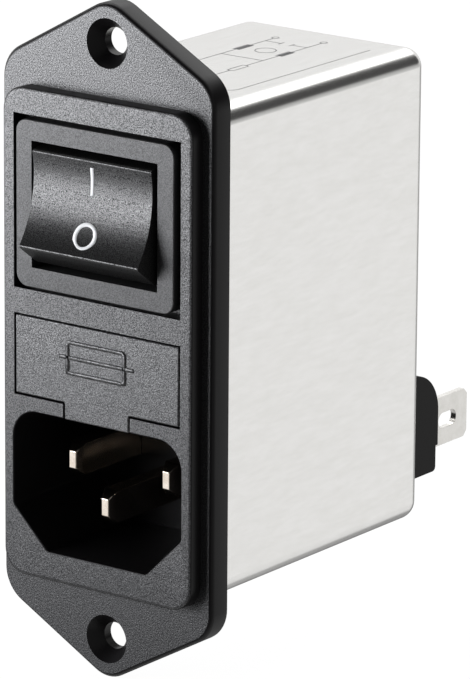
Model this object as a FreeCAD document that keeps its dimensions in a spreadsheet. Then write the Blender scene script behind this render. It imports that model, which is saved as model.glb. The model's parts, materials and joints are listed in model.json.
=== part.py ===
import FreeCAD, Part
import os
import re
import Sketcher

# Panel-mounted power entry module: mains inlet, fuse drawer, rocker switch and filter can.
# Millimetres. X runs right across the front, Y runs back from the panel into the can, Z is up.
# The origin is the centre of the flange's rear face, which lies against the panel.

Vector = FreeCAD.Vector

SIZES = [
    ("flange_margin", 1.7, "flange either side of the plateau"),
    ("ear_height", 11.2, "flange's ear above and below the plateau"),
    ("flange_depth", 3.0, "flange thickness"),
    ("flange_slope", 29.4, "slope of the four flange shoulders, degrees"),
    ("tip_radius", 4.0, "round of the flange's two tips"),
    ("shoulder_radius", 4.5, "round of the four shoulders"),
    ("flange_edge", 0.5, "chamfer of the flange's front edge"),
    ("plateau_side", 1.55, "plateau either side of the socket"),
    ("low_margin", 3.65, "plateau below the socket"),
    ("socket_web", 1.85, "plateau between socket and drawer"),
    ("drawer_web", 3.095, "plateau between drawer and switch well"),
    ("high_margin", 3.155, "plateau above the switch well"),
    ("plateau_rise", 2.0, "plateau above the flange"),
    ("plateau_radius", 3.0, "plateau corners"),
    ("plateau_edge", 0.25, "chamfer of the plateau's front edge"),
    ("hole_inset", 4.8, "screw hole's centre from the flange's tip"),
    ("hole_bore", 3.3, "panel screw hole"),
    ("sink_bore", 6.0, "mouth of the countersink"),
    ("sink_angle", 75.0, "countersink, whole angle, degrees"),
    ("socket_width", 24.9, "socket, side to side"),
    ("socket_height", 16.9, "socket, top to bottom"),
    ("socket_depth", 16.6, "socket, front face to floor"),
    ("socket_radius", 3.4, "socket's two upper corners"),
    ("socket_bevel", 5.1, "socket's two lower bevels"),
    ("socket_bend", 0.8, "round at the ends of the bevels"),
    ("socket_edge", 0.2, "chamfer round the socket's mouth"),
    ("socket_wall", 1.2, "shroud wall above and below the socket"),
    ("socket_floor", 2.0, "floor that carries the pins"),
    ("pin_pitch", 14.0, "line pin to neutral pin"),
    ("pin_offset", 4.0, "earth pin below the other two"),
    ("pin_width", 2.0, "pin section across"),
    ("pin_height", 4.0, "pin section up"),
    ("pin_setback", 4.4, "line and neutral tips behind the front face"),
    ("earth_setback", 1.7, "earth tip behind the front face"),
    ("pin_taper", 1.25, "length of the tapered tip"),
    ("pin_tip_width", 1.0, "flat end of the tip, across"),
    ("pin_tip_height", 2.1, "flat end of the tip, up"),
    ("pin_tail", 6.0, "pin tail behind the floor"),
    ("face_inset", 0.1, "drawer recess narrower than the socket, each side"),
    ("face_rim", 0.75, "drawer's face past the channel, above and below"),
    ("drawer_face", 2.4, "thickness of the drawer's face"),
    ("tongue_width", 10.0, "notch for the finger tongue"),
    ("seam", 0.22, "gap round the drawer's face"),
    ("face_side", 1.05, "drawer's face past the channel, each side"),
    ("leaf_room", 2.15, "room over the fuses for their contacts"),
    ("channel_rest", 0.6, "channel behind the tray"),
    ("channel_wall", 1.2, "channel walls"),
    ("slide_gap", 0.15, "running gap round the drawer's tray"),
    ("tray_floor", 1.0, "floor under the fuses"),
    ("tray_tail", 6.7, "tray behind the fuses"),
    ("fuse_side", 5.7, "fuse's centre to the channel's side"),
    ("fuse_front", 0.7, "front end of the fuses, behind the panel face"),
    ("fuse_length", 20.0, "fuse, end to end"),
    ("glass_wall", 0.4, "wall of the glass tube"),
    ("fuse_glass", 5.0, "glass tube, outside"),
    ("cap_wall", 0.1, "wall of the end cap"),
    ("fuse_cap_length", 5.0, "end cap, long"),
    ("fuse_cap_end", 0.4, "end cap, end wall"),
    ("fuse_wire", 0.3, "fuse element"),
    ("fuse_gap", 0.1, "fuse to its trough"),
    ("trough_gap", 0.2, "fuse to trough, each side"),
    ("trough_sill", 0.2, "trough's end wall below the top of the fuse"),
    ("leaf_width", 3.6, "fuse contact leaf"),
    ("leaf_thickness", 0.35, "fuse contact strip"),
    ("leaf_gap", 0.15, "leaf to fuse cap"),
    ("leaf_foot", 3.0, "flat foot of the leaf on the channel's roof"),
    ("leaf_reach", 2.6, "foot to the leaf's lowest point"),
    ("leaf_lip", 1.4, "lowest point to the leaf's free end"),
    ("leaf_lip_rise", 0.6, "free end above the lowest point"),
    ("leaf_tail", 3.0, "contact's tail above the channel"),
    ("fit_gap", 0.05, "fixed metal in its slot"),
    ("well_gap", 0.46, "gap above and below the bezel"),
    ("well_depth", 2.2, "switch well below the plateau"),
    ("collar_depth", 4.0, "housing wall round the switch, behind the panel face"),
    ("well_side", 0.68, "gap either side of the bezel"),
    ("bezel_rim", 2.465, "bezel above and below its window"),
    ("bezel_proud", 0.45, "bezel above the plateau"),
    ("bezel_radius", 1.6, "bezel corners"),
    ("bezel_edge", 0.15, "chamfer of the bezel's front edge"),
    ("bezel_side", 2.37, "bezel either side of its window"),
    ("rocker_room", 1.92, "window past the rocker's lips, above and below"),
    ("body_side", 1.3, "wall of the switch body, each side"),
    ("body_rim", 1.4, "wall of the switch body, above and below"),
    ("switch_end", 14.2, "rear end of the switch body, behind the panel face"),
    ("snap_gap", 0.15, "switch body to housing"),
    ("base_depth", 2.0, "switch base, thickness"),
    ("rocker_side", 0.55, "rocker to window, each side"),
    ("rocker_face", 11.56, "rocker face, lip to lip"),
    ("rocker_reach", 5.24, "pivot to the rocker's lips"),
    ("rocker_hollow", 1.3, "depth of the face's hollow"),
    ("foot_flare", 1.62, "rocker's widest place past its lips"),
    ("rocker_foot_reach", 1.5, "pivot to the widest place"),
    ("heel_inset", 0.4, "back edge short of the widest place"),
    ("rocker_heel_reach", 1.0, "back edge behind the pivot"),
    ("back_inset", 2.5, "flat back short of the back edge"),
    ("rocker_back_reach", 2.2, "flat back behind the pivot"),
    ("rocker_lip", 0.3, "round of the rocker's lips"),
    ("rocker_tilt", 13.0, "rocker's tilt either way, degrees"),
    ("pivot_setback", 3.25, "rocker pivot behind the bezel's face"),
    ("trunnion_bore", 2.5, "bearing hole in the switch body"),
    ("trunnion_length", 1.35, "trunnion out of the rocker's side"),
    ("bearing_depth", 1.0, "depth of the bearing hole"),
    ("running_gap", 0.05, "running gap of trunnions and plungers, radial"),
    ("pole_pitch", 9.0, "one switch pole to the other"),
    ("sleeve_diameter", 5.0, "plunger sleeve under the rocker"),
    ("sleeve_end", 4.4, "end of the sleeve behind the pivot"),
    ("plunger_diameter", 3.2, "plunger"),
    ("plunger_tip", 6.0, "plunger's tip behind the pivot"),
    ("plunger_nose", 1.2, "plunger's tapered nose, long"),
    ("plunger_flat", 1.2, "flat end of the nose"),
    ("plunger_back", 2.4, "plunger's rear end behind the pivot"),
    ("spring_seat", -1.6, "bottom of the plunger's bore, from the pivot"),
    ("spring_wire", 0.3, "spring wire"),
    ("spring_turns", 2.5, "turns of the spring"),
    ("seesaw_setback", 4.8, "seesaw fulcrum behind the panel face"),
    ("seesaw_length", 13.0, "seesaw contact"),
    ("seesaw_width", 3.6, "seesaw contact, across"),
    ("seesaw_thickness", 0.9, "seesaw contact, thickness"),
    ("seesaw_tilt", 7.0, "seesaw's tilt either way, degrees"),
    ("rivet_diameter", 2.4, "contact rivet"),
    ("rivet_height", 0.5, "contact rivet above the seesaw"),
    ("rivet_drop", 5.3, "rivet below the fulcrum"),
    ("contact_gap", 0.05, "touching contacts"),
    ("fulcrum_gap", 0.06, "seesaw's groove round its fulcrum"),
    ("terminal_width", 4.8, "switch terminal"),
    ("terminal_thickness", 0.8, "switch terminal, thickness"),
    ("terminal_end", 21.7, "end of the switch terminals, behind the panel face"),
    ("can_side", 0.2, "can narrower than the plateau, each side"),
    ("can_inset", 0.1, "can shorter than the plateau, each end"),
    ("can_room", 10.9, "room behind the board, can wall included"),
    ("can_wall", 0.4, "can wall"),
    ("can_radius", 2.4, "can's edges"),
    ("rim_depth", 0.5, "groove in the flange for the can's rim"),
    ("rim_gap", 0.1, "groove round the can"),
    ("core_gap", 0.15, "housing to the inside of the can"),
    ("core_depth", 2.5, "housing's locating step inside the can"),
    ("board_lift", 2.5, "drawer channel to the board"),
    ("board_thickness", 1.6, "circuit board"),
    ("board_gap", 0.3, "board to the inside of the can"),
    ("board_radius", 2.4, "board's corners"),
    ("core_lift", 2.8, "choke core above the can's lower side"),
    ("core_room", 4.85, "room over and under the choke core"),
    ("core_build", 3.9, "choke core, inside to outside"),
    ("core_width", 6.0, "choke core, thick"),
    ("winding_build", 1.4, "thickness of a winding"),
    ("winding_angle", 130.0, "arc of a winding, degrees"),
    ("winding_gap", 0.1, "winding to the core"),
    ("x_cap_drop", 2.4, "X capacitor below the can's upper side"),
    ("x_cap_width", 18.0, "X capacitor, side to side"),
    ("x_cap_height", 14.0, "X capacitor, top to bottom"),
    ("x_cap_depth", 7.0, "X capacitor, front to back"),
    ("disc_gap", 0.7, "X capacitor to the Y capacitors"),
    ("disc_side", 7.3, "Y capacitor's centre to the can's side"),
    ("y_cap_diameter", 7.0, "Y capacitor"),
    ("y_cap_depth", 3.5, "Y capacitor, thick"),
    ("resistor_drop", 0.3, "resistor below the Y capacitors' centres"),
    ("resistor_length", 6.5, "bleed resistor"),
    ("resistor_diameter", 2.4, "bleed resistor"),
    ("lead_width", 0.6, "resistor lead"),
    ("lead_reach", 1.6, "lead past each end of the resistor"),
    ("strap_width", 4.0, "earth strap"),
    ("strap_thickness", 0.6, "earth strap"),
    ("strap_setback", 1.2, "strap from the end of the earth pin"),
    ("strap_foot", 4.5, "strap's foot on the can"),
    ("block_side", 5.0, "block narrower than the can, each side"),
    ("block_lift", 2.7, "block above the can's lower side"),
    ("block_height", 13.3, "terminal block, bottom to top"),
    ("block_reach", 10.6, "block behind the can"),
    ("block_round", 5.5, "round of the block's upper rear edge"),
    ("block_bend", 0.6, "round of the block's lower rear edge"),
    ("block_step", 0.45, "step in the block's rear face"),
    ("step_height", 3.3, "step above the block's bottom"),
    ("neck_inset", 0.3, "block's neck inside its outline"),
    ("neck_gap", 0.1, "neck to the window in the can"),
    ("lug_depth", 1.6, "block's collar inside the can"),
    ("tab_side", 1.3, "load tab's centre to the block's side"),
    ("tab_lift", 5.75, "load tabs above the block's bottom"),
    ("tab_width", 6.3, "load tab"),
    ("tab_thickness", 0.8, "load tab, thickness"),
    ("tab_reach", 7.7, "load tabs behind the block"),
    ("tab_chamfer", 0.7, "corners of a tab"),
    ("tab_tail", 3.0, "tab's tail in the board"),
    ("tail_recess", 0.3, "tail short of the board's front face"),
    ("slot_length", 3.9, "slot in a tab"),
    ("slot_width", 2.0, "slot in a tab, across"),
    ("slot_setback", 2.4, "slot from the tab's end"),
    ("earth_tab_drop", 17.9, "earth tab below the can's upper side"),
    ("earth_tab_length", 8.0, "earth tab out of the can"),
    ("earth_tab_foot", 8.0, "earth tab's welded foot"),
]

# Sizes and places that follow from the ones above; each uses only names that come before it.
TIED = [
    ("plateau_width", "socket_width + 2 * plateau_side", "raised plateau, side to side"),
    ("flange_width", "plateau_width + 2 * flange_margin", "flange, side to side"),
    ("drawer_width", "socket_width - 2 * face_inset", "recess for the drawer's face, side to side"),
    ("channel_width", "drawer_width - 2 * face_side", "drawer channel, side to side"),
    ("tray_end", "fuse_front + fuse_length + tray_tail", "rear end of the tray, behind the panel face"),
    ("channel_end", "tray_end + channel_rest", "rear end of the channel, behind the panel face"),
    ("fuse_pitch", "channel_width - 2 * fuse_side", "fuse to fuse"),
    ("fuse_bore", "fuse_glass - 2 * glass_wall", "glass tube, inside"),
    ("fuse_cap", "fuse_glass + 2 * cap_wall", "end cap, outside"),
    ("channel_height", "slide_gap + tray_floor + fuse_gap + fuse_cap + leaf_room",
     "drawer channel, top to bottom"),
    ("drawer_height", "channel_height + 2 * face_rim", "recess for the drawer's face, top to bottom"),
    ("trough_width", "fuse_cap + 2 * trough_gap", "trough that holds a fuse"),
    ("well_width", "drawer_width", "switch well, side to side"),
    ("bezel_width", "well_width - 2 * well_side", "switch bezel, side to side"),
    ("window_width", "bezel_width - 2 * bezel_side", "bezel window, side to side"),
    ("window_height", "rocker_face + 2 * rocker_room", "bezel window, top to bottom"),
    ("bezel_height", "window_height + 2 * bezel_rim", "switch bezel, top to bottom"),
    ("well_height", "bezel_height + 2 * well_gap", "switch well, top to bottom"),
    ("plateau_height", "low_margin + socket_height + socket_web + drawer_height"
     " + drawer_web + well_height + high_margin",
     "raised plateau, top to bottom"),
    ("flange_height", "plateau_height + 2 * ear_height", "flange, rounded tip to rounded tip"),
    ("hole_pitch", "flange_height - 2 * hole_inset", "panel screw holes, centre to centre"),
    ("socket_rise", "-plateau_height / 2 + low_margin + socket_height / 2",
     "height of the inlet socket's centre"),
    ("drawer_rise", "socket_rise + socket_height / 2 + socket_web + drawer_height / 2",
     "height of the fuse drawer's centre"),
    ("switch_rise", "drawer_rise + drawer_height / 2 + drawer_web + well_height / 2",
     "height of the switch's centre"),
    ("switch_width", "window_width + 2 * body_side", "switch body, side to side"),
    ("switch_height", "window_height + 2 * body_rim", "switch body, top to bottom"),
    ("rocker_width", "window_width - 2 * rocker_side", "rocker, side to side"),
    ("rocker_foot", "rocker_face + 2 * foot_flare", "rocker at its widest"),
    ("rocker_heel", "rocker_foot - 2 * heel_inset", "rocker's back edge to back edge"),
    ("rocker_back", "rocker_heel - 2 * back_inset", "rocker's flat back"),
    ("can_width", "plateau_width - 2 * can_side", "filter can, side to side"),
    ("can_height", "plateau_height - 2 * can_inset", "filter can, top to bottom"),
    ("board_front", "channel_end + board_lift", "circuit board's front face, behind the panel face"),
    ("can_end", "board_front + board_thickness + can_room", "can's rear face, behind the panel face"),
    ("core_outer", "drawer_rise - channel_height / 2 - channel_wall + can_height / 2 - core_room",
     "choke core, outside"),
    ("core_rise", "-can_height / 2 + core_outer / 2 + core_lift", "height of the choke's centre"),
    ("core_inner", "core_outer - 2 * core_build", "choke core, inside"),
    ("x_cap_rise", "can_height / 2 - x_cap_height / 2 - x_cap_drop", "height of the X capacitor's centre"),
    ("y_cap_rise", "x_cap_rise - x_cap_height / 2 - y_cap_diameter / 2 - disc_gap",
     "height of the Y capacitors"),
    ("y_cap_pitch", "can_width - 2 * disc_side", "Y capacitor to Y capacitor"),
    ("resistor_rise", "y_cap_rise - resistor_drop", "height of the bleed resistor"),
    ("block_width", "can_width - 2 * block_side", "terminal block, side to side"),
    ("block_low", "-can_height / 2 + block_lift", "bottom of the terminal block"),
    ("block_high", "block_low + block_height", "top of the terminal block"),
    ("block_step_rise", "block_low + step_height", "height of the step"),
    ("tab_pitch", "block_width - 2 * tab_side", "load tab to load tab"),
    ("tab_rise", "block_low + tab_lift", "height of the load tabs"),
    ("tab_end", "can_end + block_reach + tab_reach", "end of the load tabs, behind the panel face"),
    ("earth_tab_rise", "can_height / 2 - earth_tab_drop", "height of the earth tab"),
]

doc = FreeCAD.newDocument("PowerEntryModule")
sheet = doc.addObject("Spreadsheet::Sheet", "Sizes")
for row, (alias, amount, note) in enumerate(SIZES, 1):
    sheet.set("A%d" % row, note)
    sheet.set("B%d" % row, str(amount))
    sheet.setAlias("B%d" % row, alias)
places = doc.addObject("App::VarSet", "Places")
for name, text, note in TIED:
    places.addProperty("App::PropertyFloat", name, "Tied", note)
OWNER = {alias: "Sizes." for alias, amount, note in SIZES}
OWNER.update({name: "Places." for name, text, note in TIED})


def formula(text):
    """A formula in plain size names, with each name pointed at the object that holds it."""
    return re.sub(r"[a-z_]\w*", lambda match: OWNER.get(match.group(), "") + match.group(), text)


doc.recompute()
for name, text, note in TIED:
    places.setExpression(name, formula(text))
    doc.recompute()


def amount_of(text):
    """What a formula comes to now, to start a sketch or find an edge."""
    return float(sheet.evalExpression(formula(text)))


def bind(item, prop, text):
    item.setExpression(prop, formula(text))


# Places that several pieces share, as formulas of the sizes.
FRONT = "(-flange_depth - plateau_rise)"
SOCKET_TOP = "(socket_rise + socket_height / 2)"
SOCKET_BOTTOM = "(socket_rise - socket_height / 2)"
SOCKET_FLOOR = "(socket_depth - flange_depth - plateau_rise)"
PIN_RISE = "(socket_rise + pin_offset / 2)"
EARTH_RISE = "(socket_rise - pin_offset / 2)"
PIN_END = "(socket_depth - flange_depth - plateau_rise + socket_floor + pin_tail)"
DRAWER_TOP = "(drawer_rise + drawer_height / 2)"
DRAWER_BOTTOM = "(drawer_rise - drawer_height / 2)"
FACE_BACK = "(drawer_face - flange_depth - plateau_rise)"
CHANNEL_ROOF = "(drawer_rise + channel_height / 2)"
CHANNEL_SILL = "(drawer_rise - channel_height / 2)"
TRAY_LOW = "(drawer_rise - channel_height / 2 + slide_gap)"
TRAY_HIGH = "(drawer_rise + channel_height / 2 - slide_gap)"
FUSE_RISE = "(drawer_rise - channel_height / 2 + slide_gap + tray_floor + fuse_gap + fuse_cap / 2)"
FUSE_BACK = "(fuse_front + fuse_length)"
LEAF_LOW = "(%s + fuse_cap / 2 + leaf_gap)" % FUSE_RISE
WELL_FLOOR = "(well_depth - flange_depth - plateau_rise)"
BEZEL_FACE = "(-flange_depth - plateau_rise - bezel_proud)"
PIVOT = "(pivot_setback - flange_depth - plateau_rise - bezel_proud)"
CORE_WIDTH = "(can_width - 2 * can_wall - 2 * core_gap)"
CORE_HEIGHT = "(can_height - 2 * can_wall - 2 * core_gap)"
BOARD_BACK = "(board_front + board_thickness)"
CAN_INSIDE = "(can_end - can_wall)"
TAB_LOW = "(tab_rise - tab_width / 2)"
TAB_HIGH = "(tab_rise + tab_width / 2)"
POLES = [("line", "-1"), ("neutral", "1")]


# Sketched pieces

def origin_plane(body, role):
    return [item for item in body.Origin.OriginFeatures if item.Role == role][0]


def new_body(label):
    body = doc.addObject("PartDesign::Body", label)
    body.Label = label
    return body


def sketch_on(body, role, level, name):
    """A sketch on one of the body's own planes, moved to a level on the axis across it."""
    drawing = body.newObject("Sketcher::SketchObject", name)
    drawing.AttachmentSupport = [(origin_plane(body, role), "")]
    drawing.MapMode = "FlatFace"
    sign = "-" if role == "XZ_Plane" else ""
    bind(drawing, "AttachmentOffset.Base.z", "%s(%s)" % (sign, level))
    return drawing


def pin_point(drawing, line, end, across, up):
    """Ties the end of a line to its two distances from the origin."""
    for kind, text in (("DistanceX", across), ("DistanceY", up)):
        place = drawing.addConstraint(Sketcher.Constraint(kind, -1, 1, line, end, amount_of(text)))
        drawing.setExpression("Constraints[%d]" % place, formula(text))


def draw_polygon(drawing, corners):
    """A closed outline through corners that are given as pairs of formulas."""
    points = [Vector(amount_of(across), amount_of(up), 0) for across, up in corners]
    first = drawing.GeometryCount
    count = len(corners)
    for i in range(count):
        drawing.addGeometry(Part.LineSegment(points[i], points[(i + 1) % count]), False)
    for i in range(count):
        drawing.addConstraint(
            Sketcher.Constraint("Coincident", first + i, 2, first + (i + 1) % count, 1))
        pin_point(drawing, first + i, 1, *corners[i])


def draw_box(drawing, left, right, low, high):
    draw_polygon(drawing, [(left, low), (right, low), (right, high), (left, high)])


def draw_centred(drawing, width, height, rise="0"):
    """A rectangle centred across, at a height."""
    draw_box(drawing, "-(%s) / 2" % width, "(%s) / 2" % width,
             "(%s) - (%s) / 2" % (rise, height), "(%s) + (%s) / 2" % (rise, height))


def draw_circle(drawing, across, up, radius):
    ring = drawing.addGeometry(
        Part.Circle(Vector(amount_of(across), amount_of(up), 0), Vector(0, 0, 1), amount_of(radius)), False)
    pin_point(drawing, ring, 3, across, up)
    place = drawing.addConstraint(Sketcher.Constraint("Radius", ring, amount_of(radius)))
    drawing.setExpression("Constraints[%d]" % place, formula(radius))


def settle(body, feature):
    """Makes the feature the body's last one, works it out and checks it."""
    body.Tip = feature
    doc.recompute()
    if "Invalid" in feature.State or feature.Shape.isNull():
        raise ValueError("%s did not build: %s" % (feature.Label, feature.State))
    return feature


def pad(body, name, drawing, length, back=False, both=False):
    """Adds material towards the sketch's own normal, or the other way."""
    feature = body.newObject("PartDesign::Pad", name)
    feature.Profile = drawing
    bind(feature, "Length", length)
    feature.Reversed = back
    feature.Midplane = both
    return settle(body, feature)


def pocket(body, name, drawing, length, back=False, both=False):
    """Cuts against the sketch's own normal, or along it, and checks that it did cut."""
    before = body.Shape.Volume
    feature = body.newObject("PartDesign::Pocket", name)
    feature.Profile = drawing
    bind(feature, "Length", length)
    feature.Reversed = back
    feature.Midplane = both
    settle(body, feature)
    if body.Shape.Volume >= before:
        raise ValueError("%s cuts nothing" % name)
    return feature


def edge_names(shape, wanted):
    return ["Edge%d" % (i + 1) for i, edge in enumerate(shape.Edges) if wanted(edge)]


def round_edges(body, name, wanted, radius, kind="Fillet"):
    base = body.Tip
    feature = body.newObject("PartDesign::" + kind, name)
    feature.Base = (base, edge_names(base.Shape, wanted))
    bind(feature, "Radius" if kind == "Fillet" else "Size", radius)
    return settle(body, feature)


def lies_along(edge, axis):
    """True for a straight edge that runs along an axis."""
    ends = edge.Vertexes
    if len(ends) != 2:
        return False
    run = ends[1].Point - ends[0].Point
    return abs(abs(run.dot(axis)) - edge.Length) < 1e-4


def within(box, axis, level):
    low, high = {"x": (box.XMin, box.XMax), "y": (box.YMin, box.YMax), "z": (box.ZMin, box.ZMax)}[axis]
    return abs(low - level) < 1e-3 and abs(high - level) < 1e-3


def edge_at(edge, **levels):
    """True for an edge that stays at the levels given for some of the axes."""
    return all(within(edge.BoundBox, axis, level) for axis, level in levels.items())


def edges_at(**levels):
    """A test for the edges that stay at the levels, given as formulas, on some of the axes."""
    places = {axis: amount_of(text) for axis, text in levels.items()}
    return lambda edge: edge_at(edge, **places)


# Pieces made of plain blocks and rods

def block(name, x, y, z):
    """A block between two formulas on each axis."""
    item = doc.addObject("Part::Box", name)
    for prop, axis, (low, high) in (("Length", "x", x), ("Width", "y", y), ("Height", "z", z)):
        bind(item, prop, "(%s) - (%s)" % (high, low))
        bind(item, "Placement.Base." + axis, low)
    return item


def rod(name, centre, y, radius):
    """A rod along Y, round a centre given as X and Z, between two formulas."""
    item = doc.addObject("Part::Cylinder", name)
    item.Placement.Rotation = FreeCAD.Rotation(Vector(1, 0, 0), -90)
    bind(item, "Radius", radius)
    bind(item, "Height", "(%s) - (%s)" % (y[1], y[0]))
    for axis, place in (("x", centre[0]), ("y", y[0]), ("z", centre[1])):
        bind(item, "Placement.Base." + axis, place)
    return item


def rod_across(name, x, y, z, radius):
    """A rod along X between two formulas, at a place in Y and Z."""
    item = doc.addObject("Part::Cylinder", name)
    item.Placement.Rotation = FreeCAD.Rotation(Vector(0, 1, 0), 90)
    bind(item, "Radius", radius)
    bind(item, "Height", "(%s) - (%s)" % (x[1], x[0]))
    for axis, place in (("x", x[0]), ("y", y), ("z", z)):
        bind(item, "Placement.Base." + axis, place)
    return item


def fuse(name, parts):
    item = doc.addObject("Part::MultiFuse", name)
    item.Shapes = parts
    return item


def cut(name, base, tool):
    item = doc.addObject("Part::Cut", name)
    item.Base = base
    item.Tool = tool
    return item


def set_at_pivot(item, y, z, angle):
    """Places a piece that is drawn round its own pivot: moved to it and tilted about X."""
    item.Placement.Rotation = FreeCAD.Rotation(Vector(1, 0, 0), amount_of(angle))
    bind(item, "Placement.Base.y", y)
    bind(item, "Placement.Base.z", z)
    bind(item, "Placement.Rotation.Angle", angle)


PIECES = []


def keep(item, label):
    item.Label = label
    PIECES.append(item)
    return item


# Front housing: flange, plateau, socket, drawer channel and switch well

def flange_corners():
    apex = "(flange_height / 2 + tip_radius * (1 / cos(flange_slope) - 1))"
    side = "flange_width / 2"
    shoulder = "(%s - flange_width / 2 * tan(flange_slope))" % apex
    return [("-" + side, "-" + shoulder), ("0", "-" + apex), (side, "-" + shoulder),
            (side, shoulder), ("0", apex), ("-" + side, shoulder)]


def socket_corners():
    side = "socket_width / 2"
    return [("-" + side, SOCKET_TOP), ("-" + side, SOCKET_BOTTOM + " + socket_bevel"),
            ("-" + side + " + socket_bevel", SOCKET_BOTTOM), (side + " - socket_bevel", SOCKET_BOTTOM),
            (side, SOCKET_BOTTOM + " + socket_bevel"), (side, SOCKET_TOP)]


def drawer_corners(gap):
    """The drawer face with its tongue; the gap is taken off all round."""
    side = "(drawer_width / 2 - %s)" % gap
    tongue = "(tongue_width / 2 - %s)" % gap
    low = "(%s + %s)" % (DRAWER_BOTTOM, gap)
    high = "(%s - %s)" % (DRAWER_TOP, gap)
    return [("-" + side, high), ("-" + side, low), ("-" + tongue, low), ("-" + tongue, SOCKET_TOP),
            (tongue, SOCKET_TOP), (tongue, low), (side, low), (side, high)]


def contact_places():
    """Each fuse contact: its name, its side and the place of its lowest point along Y."""
    front = "(fuse_front + fuse_cap_length / 2)"
    rear = "(fuse_front + fuse_length - fuse_cap_length / 2)"
    return [(pole + "_" + end + "_contact", "(%s * fuse_pitch / 2)" % side, place)
            for pole, side in POLES for end, place in (("front", front), ("rear", rear))]


def shape_flange(body):
    drawing = sketch_on(body, "XZ_Plane", "0", "flange_outline")
    draw_polygon(drawing, flange_corners())
    pad(body, "flange", drawing, "flange_depth")
    tip = amount_of("flange_width") / 4
    round_edges(body, "tips", lambda edge: lies_along(edge, Vector(0, 1, 0))
                and abs(edge.BoundBox.XMin) < tip, "tip_radius")
    round_edges(body, "shoulders", lambda edge: lies_along(edge, Vector(0, 1, 0))
                and abs(edge.BoundBox.XMin) > tip * 2 - 1e-3, "shoulder_radius")
    round_edges(body, "flange_front", edges_at(y="-flange_depth"), "flange_edge", "Chamfer")


def shape_plateau(body):
    drawing = sketch_on(body, "XZ_Plane", "-flange_depth", "plateau_outline")
    draw_centred(drawing, "plateau_width", "plateau_height")
    pad(body, "plateau", drawing, "plateau_rise")
    corner = amount_of("plateau_width / 2")
    round_edges(body, "plateau_corners", lambda edge: lies_along(edge, Vector(0, 1, 0))
                and abs(abs(edge.BoundBox.XMin) - corner) < 1e-3
                and edge.BoundBox.YMax < amount_of("-flange_depth") + 1e-3, "plateau_radius")
    round_edges(body, "plateau_front", edges_at(y=FRONT), "plateau_edge", "Chamfer")


def shape_rear(body):
    """The groove for the can and what stands inside the can."""
    groove = sketch_on(body, "XZ_Plane", "0", "groove_outline")
    draw_centred(groove, "can_width + 2 * rim_gap", "can_height + 2 * rim_gap")
    pocket(body, "groove", groove, "rim_depth", back=True)
    step = sketch_on(body, "XZ_Plane", "core_depth", "step_outline")
    draw_centred(step, CORE_WIDTH, CORE_HEIGHT)
    pad(body, "step", step, "core_depth + rim_depth")
    corner = amount_of(CORE_WIDTH) / 2
    round_edges(body, "step_corners", lambda edge: lies_along(edge, Vector(0, 1, 0))
                and abs(abs(edge.BoundBox.XMin) - corner) < 1e-3
                and edge.BoundBox.YMax > 1e-3, "can_radius")
    walls = [
        ("shroud", CORE_WIDTH, SOCKET_BOTTOM + " - socket_wall", SOCKET_TOP + " + socket_wall",
         SOCKET_FLOOR + " + socket_floor"),
        ("channel_box", "channel_width + 2 * channel_wall", CHANNEL_SILL + " - channel_wall",
         CHANNEL_ROOF + " + channel_wall", "channel_end + channel_wall"),
        ("collar", CORE_WIDTH, CHANNEL_ROOF,
         "switch_rise + switch_height / 2 + snap_gap + socket_wall", "collar_depth"),
    ]
    for name, width, low, high, depth in walls:
        drawing = sketch_on(body, "XZ_Plane", depth, name + "_outline")
        draw_box(drawing, "-(%s) / 2" % width, "(%s) / 2" % width, low, high)
        pad(body, name, drawing, depth + " + rim_depth")


def cut_socket(body):
    drawing = sketch_on(body, "XZ_Plane", FRONT, "socket_outline")
    draw_polygon(drawing, socket_corners())
    pocket(body, "socket", drawing, "socket_depth")
    side = amount_of("socket_width / 2")
    top = amount_of(SOCKET_TOP)
    bottom = amount_of(SOCKET_BOTTOM)
    inner = amount_of("socket_width / 2 - socket_bevel")
    upper = amount_of(SOCKET_BOTTOM + " + socket_bevel")

    def at_corner(edge, across, up):
        box = edge.BoundBox
        return (lies_along(edge, Vector(0, 1, 0)) and abs(abs(box.XMin) - across) < 1e-3
                and abs(box.ZMin - up) < 1e-3)

    round_edges(body, "socket_top", lambda edge: at_corner(edge, side, top), "socket_radius")
    round_edges(body, "socket_bends", lambda edge: at_corner(edge, side, upper)
                or at_corner(edge, inner, bottom), "socket_bend")
    in_front = edges_at(y=FRONT)
    round_edges(body, "socket_mouth", lambda edge: in_front(edge)
                and edge.BoundBox.XMax < side + 1e-3 and edge.BoundBox.XMin > -side - 1e-3
                and edge.BoundBox.ZMax < top + 1e-3, "socket_edge", "Chamfer")


def cut_drawer(body):
    face = sketch_on(body, "XZ_Plane", FRONT, "drawer_outline")
    draw_polygon(face, drawer_corners("0"))
    pocket(body, "drawer_recess", face, "drawer_face")
    channel = sketch_on(body, "XZ_Plane", FRONT, "channel_outline")
    draw_centred(channel, "channel_width", "channel_height", "drawer_rise")
    pocket(body, "channel", channel, "channel_end + flange_depth + plateau_rise")
    slots = sketch_on(body, "XY_Plane", CHANNEL_ROOF + " + channel_wall", "contact_slots")
    for name, across, place in contact_places():
        back = "(%s + leaf_reach + leaf_foot)" % place
        draw_box(slots, "%s - leaf_width / 2 - fit_gap" % across, "%s + leaf_width / 2 + fit_gap" % across,
                 back + " - leaf_thickness - fit_gap", back + " + fit_gap")
    pocket(body, "tail_slots", slots, "channel_wall")


def cut_switch_well(body):
    well = sketch_on(body, "XZ_Plane", FRONT, "well_outline")
    draw_centred(well, "well_width", "well_height", "switch_rise")
    pocket(body, "well", well, "well_depth")
    opening = sketch_on(body, "XZ_Plane", FRONT, "opening_outline")
    draw_centred(opening, "switch_width + 2 * snap_gap", "switch_height + 2 * snap_gap", "switch_rise")
    pocket(body, "opening", opening, "collar_depth + flange_depth + plateau_rise")


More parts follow.
